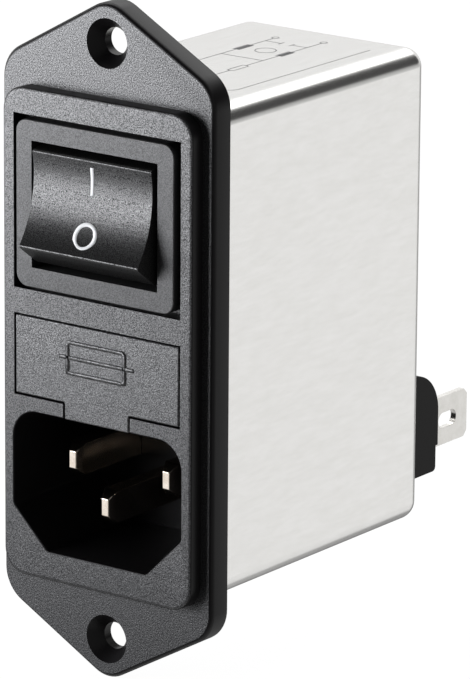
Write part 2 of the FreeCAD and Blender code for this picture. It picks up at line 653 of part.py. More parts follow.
def cut_pin_slots(body):
    floor = sketch_on(body, "XZ_Plane", SOCKET_FLOOR, "pin_slots")
    for side, rise in (("-1", PIN_RISE), ("1", PIN_RISE), ("0", EARTH_RISE)):
        across = "(%s * pin_pitch / 2)" % side
        draw_box(floor, across + " - pin_width / 2 - fit_gap", across + " + pin_width / 2 + fit_gap",
                 rise + " - pin_height / 2 - fit_gap", rise + " + pin_height / 2 + fit_gap")
    pocket(body, "pin_slot", floor, "socket_floor")


def drill_screw_holes(body):
    centres = sketch_on(body, "XZ_Plane", "-flange_depth", "hole_centres")
    for side in ("-", ""):
        draw_circle(centres, "0", side + "hole_pitch / 2", "hole_bore / 2")
    doc.recompute()
    before = body.Shape.Volume
    hole = body.newObject("PartDesign::Hole", "screw_holes")
    hole.Profile = centres
    hole.DepthType = "ThroughAll"
    hole.HoleCutType = "Countersink"
    hole.HoleCutCustomValues = True
    bind(hole, "Diameter", "hole_bore")
    bind(hole, "HoleCutDiameter", "sink_bore")
    bind(hole, "HoleCutCountersinkAngle", "sink_angle")
    settle(body, hole)
    if body.Shape.Volume >= before:
        raise ValueError("the screw holes cut nothing")


def make_front_housing():
    body = new_body("front_housing")
    shape_flange(body)
    shape_plateau(body)
    shape_rear(body)
    cut_socket(body)
    cut_drawer(body)
    cut_switch_well(body)
    cut_pin_slots(body)
    drill_screw_holes(body)
    keep(body, "front_housing")


# Inlet pins and the earth strap

def make_pin(label, side, rise, setback):
    """A flat pin with a tapered tip; it stands through the socket's floor."""
    tip = "(%s + %s)" % (FRONT, setback)
    across = "(%s * pin_pitch / 2)" % side
    shaft = block(label + "_shaft", (across + " - pin_width / 2", across + " + pin_width / 2"),
                  (tip + " + pin_taper", PIN_END), (rise + " - pin_height / 2", rise + " + pin_height / 2"))
    point = doc.addObject("Part::Wedge", label + "_tip")
    bind(point, "Ymin", tip)
    bind(point, "Ymax", tip + " + pin_taper")
    for edge, width, height in (("", "pin_tip_width", "pin_tip_height"), ("2", "pin_width", "pin_height")):
        bind(point, "X%smin" % edge, "%s - %s / 2" % (across, width))
        bind(point, "X%smax" % edge, "%s + %s / 2" % (across, width))
        bind(point, "Z%smin" % edge, "%s - %s / 2" % (rise, height))
        bind(point, "Z%smax" % edge, "%s + %s / 2" % (rise, height))
    keep(fuse(label + "_whole", [shaft, point]), label)


def make_pins():
    for pole, side in POLES:
        make_pin(pole + "_pin", side, PIN_RISE, "pin_setback")
    make_pin("earth_pin", "0", EARTH_RISE, "earth_setback")


def make_earth_strap():
    """A strip from the earth pin's tail down to a foot welded to the can."""
    low = "(can_wall - can_height / 2)"
    front = "(%s - strap_setback - strap_thickness)" % PIN_END
    side = ("-strap_width / 2", "strap_width / 2")
    upright = block("strap_upright", side, (front, front + " + strap_thickness"),
                    (low, EARTH_RISE + " - pin_height / 2"))
    foot = block("strap_foot_plate", side, (front, front + " + strap_foot"),
                 (low, low + " + strap_thickness"))
    keep(fuse("strap_whole", [upright, foot]), "earth_strap")


# Fuse drawer, fuses and their contacts

def make_fuse_drawer():
    body = new_body("fuse_drawer")
    face = sketch_on(body, "XZ_Plane", FACE_BACK + " - seam", "face_outline")
    draw_polygon(face, drawer_corners("seam"))
    pad(body, "face", face, "drawer_face - seam")
    tray = sketch_on(body, "XZ_Plane", "tray_end", "tray_outline")
    draw_box(tray, "slide_gap - channel_width / 2", "channel_width / 2 - slide_gap", TRAY_LOW, TRAY_HIGH)
    pad(body, "tray", tray, "tray_end - %s + seam" % FACE_BACK)
    troughs = sketch_on(body, "XY_Plane", TRAY_HIGH, "trough_outline")
    guides = sketch_on(body, "XY_Plane", TRAY_HIGH, "guide_outline")
    for pole, side in POLES:
        across = "(%s * fuse_pitch / 2)" % side
        left = across + " - trough_width / 2"
        right = across + " + trough_width / 2"
        draw_box(troughs, left, right, "fuse_front - fuse_gap", FUSE_BACK + " + fuse_gap")
        draw_box(guides, left, right, FUSE_BACK + " + fuse_gap", "tray_end")
    pocket(body, "troughs", troughs, "%s - %s - tray_floor" % (TRAY_HIGH, TRAY_LOW))
    pocket(body, "guides", guides, "%s - %s - fuse_cap / 2 + trough_sill" % (TRAY_HIGH, FUSE_RISE))
    keep(body, "fuse_drawer")


def make_fuse(pole, side):
    """A glass fuse: tube, two end caps and the wire between them."""
    centre = ("(%s * fuse_pitch / 2)" % side, FUSE_RISE)
    inner = ("fuse_front + fuse_cap_end", FUSE_BACK + " - fuse_cap_end")
    tube = rod(pole + "_glass", centre, inner, "fuse_glass / 2")
    bore = rod(pole + "_glass_bore", centre, inner, "fuse_bore / 2")
    keep(cut(pole + "_glass_tube", tube, bore), pole + "_fuse_tube")
    wire = rod(pole + "_wire", centre, inner, "fuse_wire / 2")
    keep(wire, pole + "_fuse_wire")
    caps = []
    for end, low, high, wall_low in (
            ("front", "fuse_front", "fuse_front + fuse_cap_length", "fuse_front + fuse_cap_end"),
            ("rear", FUSE_BACK + " - fuse_cap_length", FUSE_BACK, FUSE_BACK + " - fuse_cap_length")):
        shell = rod(pole + end + "_cap_shell", centre, (low, high), "fuse_cap / 2")
        hollow = rod(pole + end + "_cap_hollow", centre,
                     (wall_low, "%s + fuse_cap_length - fuse_cap_end" % wall_low), "fuse_glass / 2")
        caps.append(cut(pole + end + "_cap", shell, hollow))
    keep(fuse(pole + "_caps", caps), pole + "_fuse_caps")


def make_contacts():
    """Each contact hangs from the channel's roof and bends down to a fuse cap."""
    for name, across, place in contact_places():
        body = new_body(name)
        roof = CHANNEL_ROOF
        back = "(%s + leaf_reach + leaf_foot)" % place
        bend = "(%s + leaf_reach)" % place
        lip = "(%s - leaf_lip)" % place
        drawing = sketch_on(body, "YZ_Plane", "%s - leaf_width / 2" % across, name + "_profile")
        draw_polygon(drawing, [
            (back, roof + " - leaf_thickness"), (back, roof + " + channel_wall + leaf_tail"),
            (back + " - leaf_thickness", roof + " + channel_wall + leaf_tail"),
            (back + " - leaf_thickness", roof), (bend, roof), (place, LEAF_LOW + " + leaf_thickness"),
            (lip, LEAF_LOW + " + leaf_thickness + leaf_lip_rise"), (lip, LEAF_LOW + " + leaf_lip_rise"),
            (place, LEAF_LOW), (bend, roof + " - leaf_thickness")])
        pad(body, name + "_strip", drawing, "leaf_width")
        keep(body, name)


# Rocker switch

def make_switch_frame():
    """Bezel and body in one moulding, open front and rear, with two blind bearing holes."""
    body = new_body("switch_frame")
    bezel = sketch_on(body, "XZ_Plane", WELL_FLOOR, "bezel_outline")
    draw_centred(bezel, "bezel_width", "bezel_height", "switch_rise")
    pad(body, "bezel", bezel, "well_depth + bezel_proud")
    round_edges(body, "bezel_corners", lambda edge: lies_along(edge, Vector(0, 1, 0)), "bezel_radius")
    round_edges(body, "bezel_front", edges_at(y=BEZEL_FACE), "bezel_edge", "Chamfer")
    box = sketch_on(body, "XZ_Plane", "switch_end", "body_outline")
    draw_centred(box, "switch_width", "switch_height", "switch_rise")
    pad(body, "box", box, "switch_end - %s" % WELL_FLOOR)
    window = sketch_on(body, "XZ_Plane", BEZEL_FACE, "window_outline")
    draw_centred(window, "window_width", "window_height", "switch_rise")
    pocket(body, "window", window, "switch_end - %s" % BEZEL_FACE)
    bearing = sketch_on(body, "YZ_Plane", "0", "bearing_outline")
    draw_circle(bearing, PIVOT, "switch_rise", "trunnion_bore / 2")
    pocket(body, "bearings", bearing, "window_width + 2 * bearing_depth", both=True)
    keep(body, "switch_frame")


def make_rocker():
    """Drawn level round its pivot: a hollow face, flared ends, two trunnions and two sleeves."""
    body = new_body("rocker")
    profile = sketch_on(body, "YZ_Plane", "-rocker_width / 2", "rocker_profile")
    corners = [("-rocker_reach", "-rocker_face / 2"), ("-rocker_foot_reach", "-rocker_foot / 2"),
               ("rocker_heel_reach", "-rocker_heel / 2"), ("rocker_back_reach", "-rocker_back / 2"),
               ("rocker_back_reach", "rocker_back / 2"), ("rocker_heel_reach", "rocker_heel / 2"),
               ("-rocker_foot_reach", "rocker_foot / 2"), ("-rocker_reach", "rocker_face / 2")]
    points = [Vector(amount_of(across), amount_of(up), 0) for across, up in corners]
    last = len(corners) - 1
    for i in range(last):
        profile.addGeometry(Part.LineSegment(points[i], points[i + 1]), False)
    hollow = Vector(amount_of("rocker_hollow - rocker_reach"), 0, 0)
    profile.addGeometry(Part.Arc(points[0], hollow, points[last]), False)
    for i in range(last):
        pin_point(profile, i, 1, *corners[i])
    pin_point(profile, last - 1, 2, *corners[last])
    for i in range(last - 1):
        profile.addConstraint(Sketcher.Constraint("Coincident", i, 2, i + 1, 1))
    profile.addConstraint(Sketcher.Constraint("Coincident", last - 1, 2, last, 2))
    profile.addConstraint(Sketcher.Constraint("Coincident", 0, 1, last, 1))
    round_face = "rocker_face * rocker_face / (8 * rocker_hollow) + rocker_hollow / 2"
    place = profile.addConstraint(Sketcher.Constraint("Radius", last, amount_of(round_face)))
    profile.setExpression("Constraints[%d]" % place, formula(round_face))
    pad(body, "rocker_body", profile, "rocker_width")
    round_edges(body, "rocker_lips", edges_at(y="-rocker_reach"), "rocker_lip")
    trunnion = sketch_on(body, "YZ_Plane", "0", "trunnion_outline")
    draw_circle(trunnion, "0", "0", "trunnion_bore / 2 - running_gap")
    pad(body, "trunnions", trunnion, "rocker_width + 2 * trunnion_length", both=True)
    sleeves = sketch_on(body, "XZ_Plane", "sleeve_end", "sleeve_outline")
    bores = sketch_on(body, "XZ_Plane", "sleeve_end", "plunger_bores")
    for pole, side in POLES:
        across = "%s * pole_pitch / 2" % side
        draw_circle(sleeves, across, "0", "sleeve_diameter / 2")
        draw_circle(bores, across, "0", "plunger_diameter / 2 + running_gap")
    pad(body, "sleeves", sleeves, "sleeve_end")
    pocket(body, "bores", bores, "sleeve_end - spring_seat", back=True)
    set_at_pivot(body, PIVOT, "switch_rise", "-rocker_tilt")
    keep(body, "rocker")


def make_plunger(pole, side):
    """A plunger with a blunt nose, drawn round the rocker's pivot."""
    centre = ("(%s * pole_pitch / 2)" % side, "0")
    nose_from = "plunger_tip - plunger_nose"
    shank = rod(pole + "_plunger_shank", centre, ("plunger_back", nose_from), "plunger_diameter / 2")
    nose = doc.addObject("Part::Cone", pole + "_plunger_nose")
    nose.Placement.Rotation = FreeCAD.Rotation(Vector(1, 0, 0), -90)
    bind(nose, "Radius1", "plunger_diameter / 2")
    bind(nose, "Radius2", "plunger_flat / 2")
    bind(nose, "Height", "plunger_nose")
    bind(nose, "Placement.Base.x", centre[0])
    bind(nose, "Placement.Base.y", nose_from)
    whole = fuse(pole + "_plunger_whole", [shank, nose])
    set_at_pivot(whole, PIVOT, "switch_rise", "-rocker_tilt")
    keep(whole, pole + "_plunger")


def make_spring(pole, side):
    """A spring of square wire between the bottom of the rocker's bore and the plunger."""
    span = "(plunger_back - spring_seat - spring_wire - 2 * contact_gap)"
    reach = "(plunger_diameter / 2 - spring_wire / 2 - 2 * running_gap)"
    start = "(spring_seat + spring_wire / 2 + contact_gap)"
    coil = doc.addObject("Part::Helix", pole + "_coil_line")
    bind(coil, "Height", span)
    bind(coil, "Pitch", span + " / spring_turns")
    bind(coil, "Radius", reach)
    wire = doc.addObject("Part::Plane", pole + "_coil_section")
    wire.Placement.Rotation = FreeCAD.Rotation(Vector(1, 0, 0), 90)
    bind(wire, "Length", "spring_wire")
    bind(wire, "Width", "spring_wire")
    bind(wire, "Placement.Base.x", reach + " - spring_wire / 2")
    bind(wire, "Placement.Base.z", "-spring_wire / 2")
    spring = doc.addObject("Part::Sweep", pole + "_coil_sweep")
    spring.Sections = [wire]
    spring.Spine = (coil, ["Edge1"])
    spring.Solid = True
    spring.Frenet = True
    spring.Placement.Rotation = FreeCAD.Rotation(Vector(1, 0, 0), -90 - amount_of("rocker_tilt"))
    bind(spring, "Placement.Rotation.Angle", "-90 - rocker_tilt")
    bind(spring, "Placement.Base.x", "%s * pole_pitch / 2" % side)
    bind(spring, "Placement.Base.y", "%s + %s * cos(rocker_tilt)" % (PIVOT, start))
    bind(spring, "Placement.Base.z", "switch_rise - %s * sin(rocker_tilt)" % start)
    keep(spring, pole + "_plunger_spring")


def make_seesaw(pole, side):
    """A contact bar with a rivet at its lower end and a half-round groove that sits on its fulcrum."""
    across = "(%s * pole_pitch / 2)" % side
    width = (across + " - seesaw_width / 2", across + " + seesaw_width / 2")
    bar = block(pole + "_bar", width, ("-seesaw_thickness", "0"),
                ("-seesaw_length / 2", "seesaw_length / 2"))
    rivet = rod(pole + "_rivet", (across, "-rivet_drop"), ("0", "rivet_height"), "rivet_diameter / 2")
    groove = rod_across(pole + "_groove", width, "0", "0", "terminal_thickness / 2 + fulcrum_gap")
    whole = cut(pole + "_seesaw_whole", fuse(pole + "_bar_with_rivet", [bar, rivet]), groove)
    set_at_pivot(whole, "seesaw_setback", "switch_rise", "seesaw_tilt")
    keep(whole, pole + "_seesaw")


def terminal_places():
    """Each switch terminal: its name, its side, its height and its front end."""
    fixed = ("seesaw_setback + rivet_drop * sin(seesaw_tilt) + rivet_height * cos(seesaw_tilt)"
             " + rivet_diameter / 2 * sin(seesaw_tilt) + contact_gap")
    return [(pole + "_" + kind, "(%s * pole_pitch / 2)" % side, rise, front)
            for pole, side in POLES
            for kind, rise, front in (("common_terminal", "switch_rise", "seesaw_setback"),
                                      ("output_terminal", "(switch_rise - rivet_drop)", fixed))]


def make_terminals():
    """Flat terminals through the switch base; a common one ends in the round fulcrum of its bar."""
    for name, across, rise, front in terminal_places():
        width = (across + " - terminal_width / 2", across + " + terminal_width / 2")
        blade = block(name + "_blade", width, (front, "terminal_end"),
                      (rise + " - terminal_thickness / 2", rise + " + terminal_thickness / 2"))
        if "common" in name:
            fulcrum = rod_across(name + "_fulcrum", width, front, rise, "terminal_thickness / 2")
            blade = fuse(name + "_whole", [blade, fulcrum])
        keep(blade, name)


def make_switch_base():
    """The rear plug of the switch, with a slot for each terminal."""
    slots = [block(
        name + "_slot",
        (across + " - terminal_width / 2 - fit_gap", across + " + terminal_width / 2 + fit_gap"),
        ("switch_end - base_depth", "switch_end"),
        (rise + " - terminal_thickness / 2 - fit_gap", rise + " + terminal_thickness / 2 + fit_gap"))
        for name, across, rise, front in terminal_places()]
    plate = block("base_plate", ("fit_gap - window_width / 2", "window_width / 2 - fit_gap"),
                  ("switch_end - base_depth", "switch_end"),
                  ("switch_rise - window_height / 2 + fit_gap", "switch_rise + window_height / 2 - fit_gap"))
    keep(cut("base_with_slots", plate, fuse("base_slots", slots)), "switch_base")


# Filter can and what it holds

def rounded_box(name, width, height, back, radius, kind):
    """A box that starts at the can's rim, with four round corners and an eased rear edge."""
    body = new_body(name)
    outline = sketch_on(body, "XZ_Plane", back, name + "_outline")
    draw_centred(outline, width, height)
    pad(body, name + "_pad", outline, "%s + rim_depth" % back)
    round_edges(body, name + "_corners", lambda edge: lies_along(edge, Vector(0, 1, 0)), radius)
    round_edges(body, name + "_rear", edges_at(y=back), radius, kind)
    return body


def make_can():
    """A drawn can, open in front, with a window for the terminal block."""
    outside = rounded_box("can_outside", "can_width", "can_height", "can_end", "can_radius", "Fillet")
    inside = rounded_box("can_inside", "(can_width - 2 * can_wall)", "(can_height - 2 * can_wall)",
                         CAN_INSIDE, "can_radius - can_wall", "Chamfer")
    window = block("can_window",
                   ("neck_inset - neck_gap - block_width / 2", "block_width / 2 - neck_inset + neck_gap"),
                   (CAN_INSIDE + " - can_wall", "can_end"),
                   ("block_low + neck_inset - neck_gap", "block_high - neck_inset + neck_gap"))
    keep(cut("can_shell", outside, fuse("can_hollow", [inside, window])), "filter_can")


def tab_slots(y_low, y_high, height, name):
    """Slots for the two load tabs, as blocks to cut with."""
    slots = []
    for pole, side in POLES:
        across = "(%s * tab_pitch / 2)" % side
        slots.append(block(name + pole, (across + " - tab_thickness / 2 - fit_gap",
                                         across + " + tab_thickness / 2 + fit_gap"), (y_low, y_high),
                           ("tab_rise - %s / 2 - fit_gap" % height, "tab_rise + %s / 2 + fit_gap" % height)))
    return fuse(name + "both", slots)


def make_board():
    body = new_body("board_blank")
    drawing = sketch_on(body, "XZ_Plane", BOARD_BACK, "board_outline")
    draw_centred(drawing, "can_width - 2 * can_wall - 2 * board_gap",
                 "can_height - 2 * can_wall - 2 * board_gap")
    pad(body, "board", drawing, "board_thickness")
    round_edges(body, "board_corners", lambda edge: lies_along(edge, Vector(0, 1, 0)), "board_radius")
    keep(cut("board_with_slots", body, tab_slots("board_front", BOARD_BACK, "tab_tail", "board_slot_")),
         "circuit_board")


def make_choke():
    """A ring core with one winding on each side of it."""
    centre = ("0", "core_rise")
    middle = "(board_front - core_width / 2 - winding_gap - winding_build)"
    ring = (middle + " - core_width / 2", middle + " + core_width / 2")
    keep(cut("core_ring", rod("core_solid", centre, ring, "core_outer / 2"),
             rod("core_hole", centre, ring, "core_inner / 2")), "choke_core")
    for pole, side in POLES:
        body = new_body(pole + "_winding")
        section = sketch_on(body, "XY_Plane", "core_rise", pole + "_winding_section")
        for spare in ("winding_gap + winding_build", "winding_gap"):
            near = "%s * (core_inner / 2 - (%s))" % (side, spare)
            far = "%s * (core_outer / 2 + %s)" % (side, spare)
            draw_box(section, near, far, "%s - core_width / 2 - (%s)" % (middle, spare),
                     "%s + core_width / 2 + %s" % (middle, spare))
        turn = body.newObject("PartDesign::Revolution", pole + "_winding_turn")
        turn.Profile = section
        turn.ReferenceAxis = (section, ["V_Axis"])
        turn.Midplane = True
        bind(turn, "Angle", "winding_angle")
        settle(body, turn)
        keep(body, pole + "_winding")


def make_filter_parts():
    keep(block("x_cap_block", ("-x_cap_width / 2", "x_cap_width / 2"),
               ("board_front - x_cap_depth", "board_front"),
               ("x_cap_rise - x_cap_height / 2", "x_cap_rise + x_cap_height / 2")), "x_capacitor")
    for pole, side in POLES:
        keep(rod(pole + "_y_disc", ("%s * y_cap_pitch / 2" % side, "y_cap_rise"),
                 ("board_front - y_cap_depth", "board_front"), "y_cap_diameter / 2"), pole + "_y_capacitor")


def make_resistor():
    """The bleed resistor on the back of the board, on two formed leads."""
    centre = "(%s + resistor_diameter / 2)" % BOARD_BACK
    end = "(resistor_length / 2 + lead_reach)"
    rise = ("resistor_rise - lead_width / 2", "resistor_rise + lead_width / 2")
    parts = [rod_across("resistor_barrel", ("-resistor_length / 2", "resistor_length / 2"), centre,
                        "resistor_rise", "resistor_diameter / 2"),
             block("resistor_lead", ("-" + end, end),
                   (centre + " - lead_width / 2", centre + " + lead_width / 2"), rise)]
    for pole, side in POLES:
        foot = "%s * (%s - lead_width / 2)" % (side, end)
        parts.append(block("resistor_leg_" + pole, (foot + " - lead_width / 2", foot + " + lead_width / 2"),
                           (BOARD_BACK, centre), rise))
    keep(fuse("resistor_whole", parts), "bleed_resistor")


def make_terminal_block():
    """The black block that passes through the can: carrier, collar, neck and outer head."""
    body = new_body("block_blank")
    head = sketch_on(body, "YZ_Plane", "-block_width / 2", "block_profile")
    low_back = "(can_end + block_reach - block_step)"
    draw_polygon(head, [("can_end", "block_low"), (low_back, "block_low"), (low_back, "block_step_rise"),
                        ("can_end + block_reach", "block_step_rise"),
                        ("can_end + block_reach", "block_high"),
                        ("can_end", "block_high")])
    pad(body, "head", head, "block_width")
    round_edges(body, "block_shoulder", edges_at(y="can_end + block_reach", z="block_high"), "block_round")
    round_edges(body, "block_lower", edges_at(y=low_back, z="block_low"), "block_bend")
    neck = sketch_on(body, "XZ_Plane", "can_end", "neck_outline")
    draw_box(neck, "neck_inset - block_width / 2", "block_width / 2 - neck_inset",
             "block_low + neck_inset", "block_high - neck_inset")
    pad(body, "neck", neck, "can_end - %s" % BOARD_BACK)
    collar = sketch_on(body, "XZ_Plane", CAN_INSIDE, "collar_outline")
    draw_box(collar, "-block_width / 2", "block_width / 2", "block_low", "block_high")
    pad(body, "inner_collar", collar, "lug_depth")
    keep(cut("block_with_slots", body,
             tab_slots(BOARD_BACK, "can_end + block_reach", "tab_width", "block_slot_")), "terminal_block")


def make_load_tab(pole, side):
    """A flat push-on tab with cut corners and a slot; its tail stands in the board."""
    body = new_body(pole + "_tab_blank")
    tail = "board_front + tail_recess"
    drawing = sketch_on(body, "YZ_Plane", "%s * tab_pitch / 2 - tab_thickness / 2" % side,
                        pole + "_tab_profile")
    draw_polygon(drawing, [
        (tail, "tab_rise - tab_tail / 2"), (BOARD_BACK, "tab_rise - tab_tail / 2"),
        (BOARD_BACK, TAB_LOW), ("tab_end - tab_chamfer", TAB_LOW), ("tab_end", TAB_LOW + " + tab_chamfer"),
        ("tab_end", TAB_HIGH + " - tab_chamfer"), ("tab_end - tab_chamfer", TAB_HIGH),
        (BOARD_BACK, TAB_HIGH), (BOARD_BACK, "tab_rise + tab_tail / 2"),
        (tail, "tab_rise + tab_tail / 2")])
    pad(body, pole + "_blade", drawing, "tab_thickness")
    return body


def slot_tool(name, side):
    """An oblong cutter across a tab: a block with a round bar at each end."""
    thick = ("%s * tab_pitch / 2 - tab_thickness / 2" % side,
             "%s * tab_pitch / 2 + tab_thickness / 2" % side)
    near = "(tab_end - slot_setback - slot_width / 2)"
    far = "(tab_end - slot_setback - slot_length + slot_width / 2)"
    middle = block(name + "_middle", thick, (far, near),
                   ("tab_rise - slot_width / 2", "tab_rise + slot_width / 2"))
    bars = [rod_across(name + "_" + end, thick, place, "tab_rise", "slot_width / 2")
            for end, place in (("near", near), ("far", far))]
    return fuse(name + "_tool", [middle] + bars)


def make_load_tabs():
    for pole, side in POLES:
        blade = make_load_tab(pole, side)
        keep(cut(pole + "_tab_cut", blade, slot_tool(pole + "_slot", side)), pole + "_load_tab")


def make_earth_tab():
    """An angle of strip: a foot welded to the can's rear and a blade that stands back."""
    rise = ("earth_tab_rise - tab_width / 2", "earth_tab_rise + tab_width / 2")
    foot = block("earth_foot", ("-tab_thickness / 2", "earth_tab_foot - tab_thickness / 2"),
                 ("can_end", "can_end + tab_thickness"), rise)
    blade = block("earth_blade", ("-tab_thickness / 2", "tab_thickness / 2"),
                  ("can_end", "can_end + earth_tab_length"), rise)
    keep(fuse("earth_tab_whole", [foot, blade]), "earth_tab")


def check_objects():
    for item in doc.Objects:
        if {"Invalid", "Error"} & set(item.State):
            raise ValueError("%s did not build: %s" % (item.Label, item.State))
    for item in PIECES:
        if item.Shape.isNull() or not item.Shape.isValid():
            raise ValueError("%s has no sound shape" % item.Label)


def write_pieces():
    os.makedirs("parts", exist_ok=True)
    for item in PIECES:
        item.Shape.exportStep(os.path.join("parts", item.Label + ".step"))


make_front_housing()
make_pins()
make_earth_strap()
make_fuse_drawer()
for pole, side in POLES:
    make_fuse(pole, side)
make_contacts()
make_switch_frame()
make_rocker()
for pole, side in POLES:
    make_plunger(pole, side)
    make_spring(pole, side)
    make_seesaw(pole, side)
make_terminals()
make_switch_base()
make_can()
make_board()
make_choke()
make_filter_parts()
make_resistor()
make_terminal_block()
make_load_tabs()
make_earth_tab()
doc.recompute()
check_objects()
write_pieces()
for item in PIECES:
    print(item.Label, len(item.Shape.Solids), round(item.Shape.Volume, 2))
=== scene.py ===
"""Looks of the power entry module: finer skins over the CAD frame, printed marks, light and camera."""
import json
import math

import bmesh
import bpy
from mathutils import Matrix, Vector


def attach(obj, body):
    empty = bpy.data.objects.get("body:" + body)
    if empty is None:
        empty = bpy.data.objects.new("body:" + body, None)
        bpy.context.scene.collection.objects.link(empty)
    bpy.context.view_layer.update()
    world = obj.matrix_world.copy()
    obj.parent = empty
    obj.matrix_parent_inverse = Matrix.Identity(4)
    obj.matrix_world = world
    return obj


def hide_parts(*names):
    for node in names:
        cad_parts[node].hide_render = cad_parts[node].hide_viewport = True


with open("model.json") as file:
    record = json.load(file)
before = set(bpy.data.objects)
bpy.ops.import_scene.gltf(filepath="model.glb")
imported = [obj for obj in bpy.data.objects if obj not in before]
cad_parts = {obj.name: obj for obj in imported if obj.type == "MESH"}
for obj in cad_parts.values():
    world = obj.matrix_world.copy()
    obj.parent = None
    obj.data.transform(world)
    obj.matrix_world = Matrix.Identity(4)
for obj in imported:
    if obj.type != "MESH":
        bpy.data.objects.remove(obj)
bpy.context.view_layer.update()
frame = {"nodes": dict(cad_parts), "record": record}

MM = 0.001
BODY_OF = {node: body for body, nodes in frame["record"]["behaviour"]["bodies"].items() for node in nodes}
SLOT_OF = {part["node"]: part["material_slot"] for part in frame["record"]["subparts"]}
POLES = (("line", -1), ("neutral", 1))


# Colours and nodes

def linear(code):
    """An sRGB hex colour as the linear colour that a shader wants."""
    levels = [int(code[i:i + 2], 16) / 255 for i in (1, 3, 5)]
    return tuple(v / 12.92 if v <= 0.04045 else ((v + 0.055) / 1.055) ** 2.4 for v in levels) + (1.0,)


def add(tree, kind, inputs=None, **settings):
    """One node: its own settings, and for each input a number, a colour or another node's output.

    An input goes by its name, or by its number where the node has several of that name."""
    node = tree.nodes.new(kind)
    for name, value in settings.items():
        setattr(node, name, value)
    for name, value in (inputs or {}).items():
        if isinstance(value, bpy.types.NodeSocket):
            tree.links.new(value, node.inputs[name])
        else:
            node.inputs[name].default_value = value
    return node


def surface(name, colour, roughness, metallic=0.0, **others):
    """A material with one principled shader; returns it, its tree and the shader."""
    material = bpy.data.materials.new(name)
    material.use_nodes = True
    tree = material.node_tree
    tree.nodes.clear()
    shader = add(tree, "ShaderNodeBsdfPrincipled", {
        "Base Color": linear(colour), "Roughness": roughness, "Metallic": metallic, **others})
    add(tree, "ShaderNodeOutputMaterial", {"Surface": shader.outputs["BSDF"]})
    return material, tree, shader


def grain(tree, size, detail=2.0, rough=0.6, drawn=1.0):
    """Noise with spots that many millimetres across; drawn says how many times longer they are along Y."""
    place = add(tree, "ShaderNodeTexCoord").outputs["Object"]
    if drawn != 1.0:
        place = add(tree, "ShaderNodeVectorMath", {0: place, 1: (1.0, 1.0 / drawn, 1.0)},
                    operation="MULTIPLY").outputs["Vector"]
    return add(tree, "ShaderNodeTexNoise", {
        "Vector": place, "Scale": 1 / (size * MM), "Detail": detail, "Roughness": rough}).outputs["Fac"]


NOISE_LOW, NOISE_HIGH = 0.3, 0.7
MIX_DARK, MIX_LIGHT, MIX_COLOUR = 6, 7, 2


def blend_colours(tree, noise, dark, light):
    """A colour that runs from dark to light over most of the noise's range."""
    share = add(tree, "ShaderNodeMapRange", {"Value": noise, "From Min": NOISE_LOW, "From Max": NOISE_HIGH})
    mixed = add(tree, "ShaderNodeMix", {
        "Factor": share.outputs["Result"], MIX_DARK: linear(dark), MIX_LIGHT: linear(light)},
                data_type="RGBA")
    return mixed.outputs[MIX_COLOUR]


def relief(tree, shader, value, depth):
    """The value pushes the shader's surface in and out by up to that depth in millimetres."""
    bumps = add(tree, "ShaderNodeBump", {"Height": value, "Distance": depth * MM, "Strength": 1.0})
    tree.links.new(bumps.outputs["Normal"], shader.inputs["Normal"])


# Materials

NYLON_IOR, GLASS_IOR = 1.58, 1.52
FLECK_SHARE, FLECK_LOW, FLECK_HIGH = 0.8, 0.25, 0.75
SATIN_GRAIN = 0.35
CLOUD_SIZE, CLOUD_DRAWN, ROLL_SIZE, ROLL_DRAWN, ROLL_DEPTH = 1.1, 4.0, 0.4, 3.0, 0.0006
SKIN_CLOUD = 1.2
BODY_DEPTH = 0.01


def spark_eroded_nylon(name, dark, light, roughness, size, depth, sheen, sparkle):
    """Glass-filled nylon from a spark-eroded mould: a fine, sparkling grain in a broad soft sheen.

    The real grain is finer than the picture shows, so it is drawn as coarse as it needs to be seen."""
    material, tree, shader = surface(name, light, roughness, IOR=NYLON_IOR)
    pits = grain(tree, size, detail=3.0)
    flecks = grain(tree, size * FLECK_SHARE, detail=0.0)
    tree.links.new(blend_colours(tree, pits, dark, light), shader.inputs["Base Color"])
    level = add(tree, "ShaderNodeMapRange", {
        "Value": flecks, "From Min": FLECK_LOW, "From Max": FLECK_HIGH,
        "To Min": sheen - sparkle / 2, "To Max": sheen + sparkle / 2})
    tree.links.new(level.outputs["Result"], shader.inputs["Specular IOR Level"])
    relief(tree, shader, pits, depth)
    return material


def satin_plastic(name, colour, roughness, depth=0.004, sheen=0.5):
    """Plastic from a smooth mould: nearly even, with the faintest unevenness in its sheen."""
    material, tree, shader = surface(name, colour, roughness, **{"Specular IOR Level": sheen})
    relief(tree, shader, grain(tree, SATIN_GRAIN), depth)
    return material


def drawn_tinplate(name, dark, light, roughness=0.22):
    """Tin-plated steel, deep drawn: pale satin metal, cloudy in patches that the draw has lengthened."""
    material, tree, shader = surface(name, light, roughness, metallic=1.0)
    cloud = grain(tree, CLOUD_SIZE, detail=4.0, rough=0.7, drawn=CLOUD_DRAWN)
    tree.links.new(blend_colours(tree, cloud, dark, light), shader.inputs["Base Color"])
    relief(tree, shader, grain(tree, ROLL_SIZE, drawn=ROLL_DRAWN), ROLL_DEPTH)
    return material


def bright_metal(name, dark, light, roughness):
    """A plated, rolled or drawn metal: bright, with a faint cloudiness in its skin."""
    material, tree, shader = surface(name, light, roughness, metallic=1.0)
    cloud = grain(tree, SKIN_CLOUD, detail=3.0)
    tree.links.new(blend_colours(tree, cloud, dark, light), shader.inputs["Base Color"])
    return material


def mottled_body(name, dark, light, roughness, size=0.6):
    """A dull, moulded or dipped body: one colour, slightly mottled, with a faintly uneven skin."""
    material, tree, shader = surface(name, light, roughness)
    mottle = grain(tree, size)
    tree.links.new(blend_colours(tree, mottle, dark, light), shader.inputs["Base Color"])
    relief(tree, shader, mottle, BODY_DEPTH)
    return material


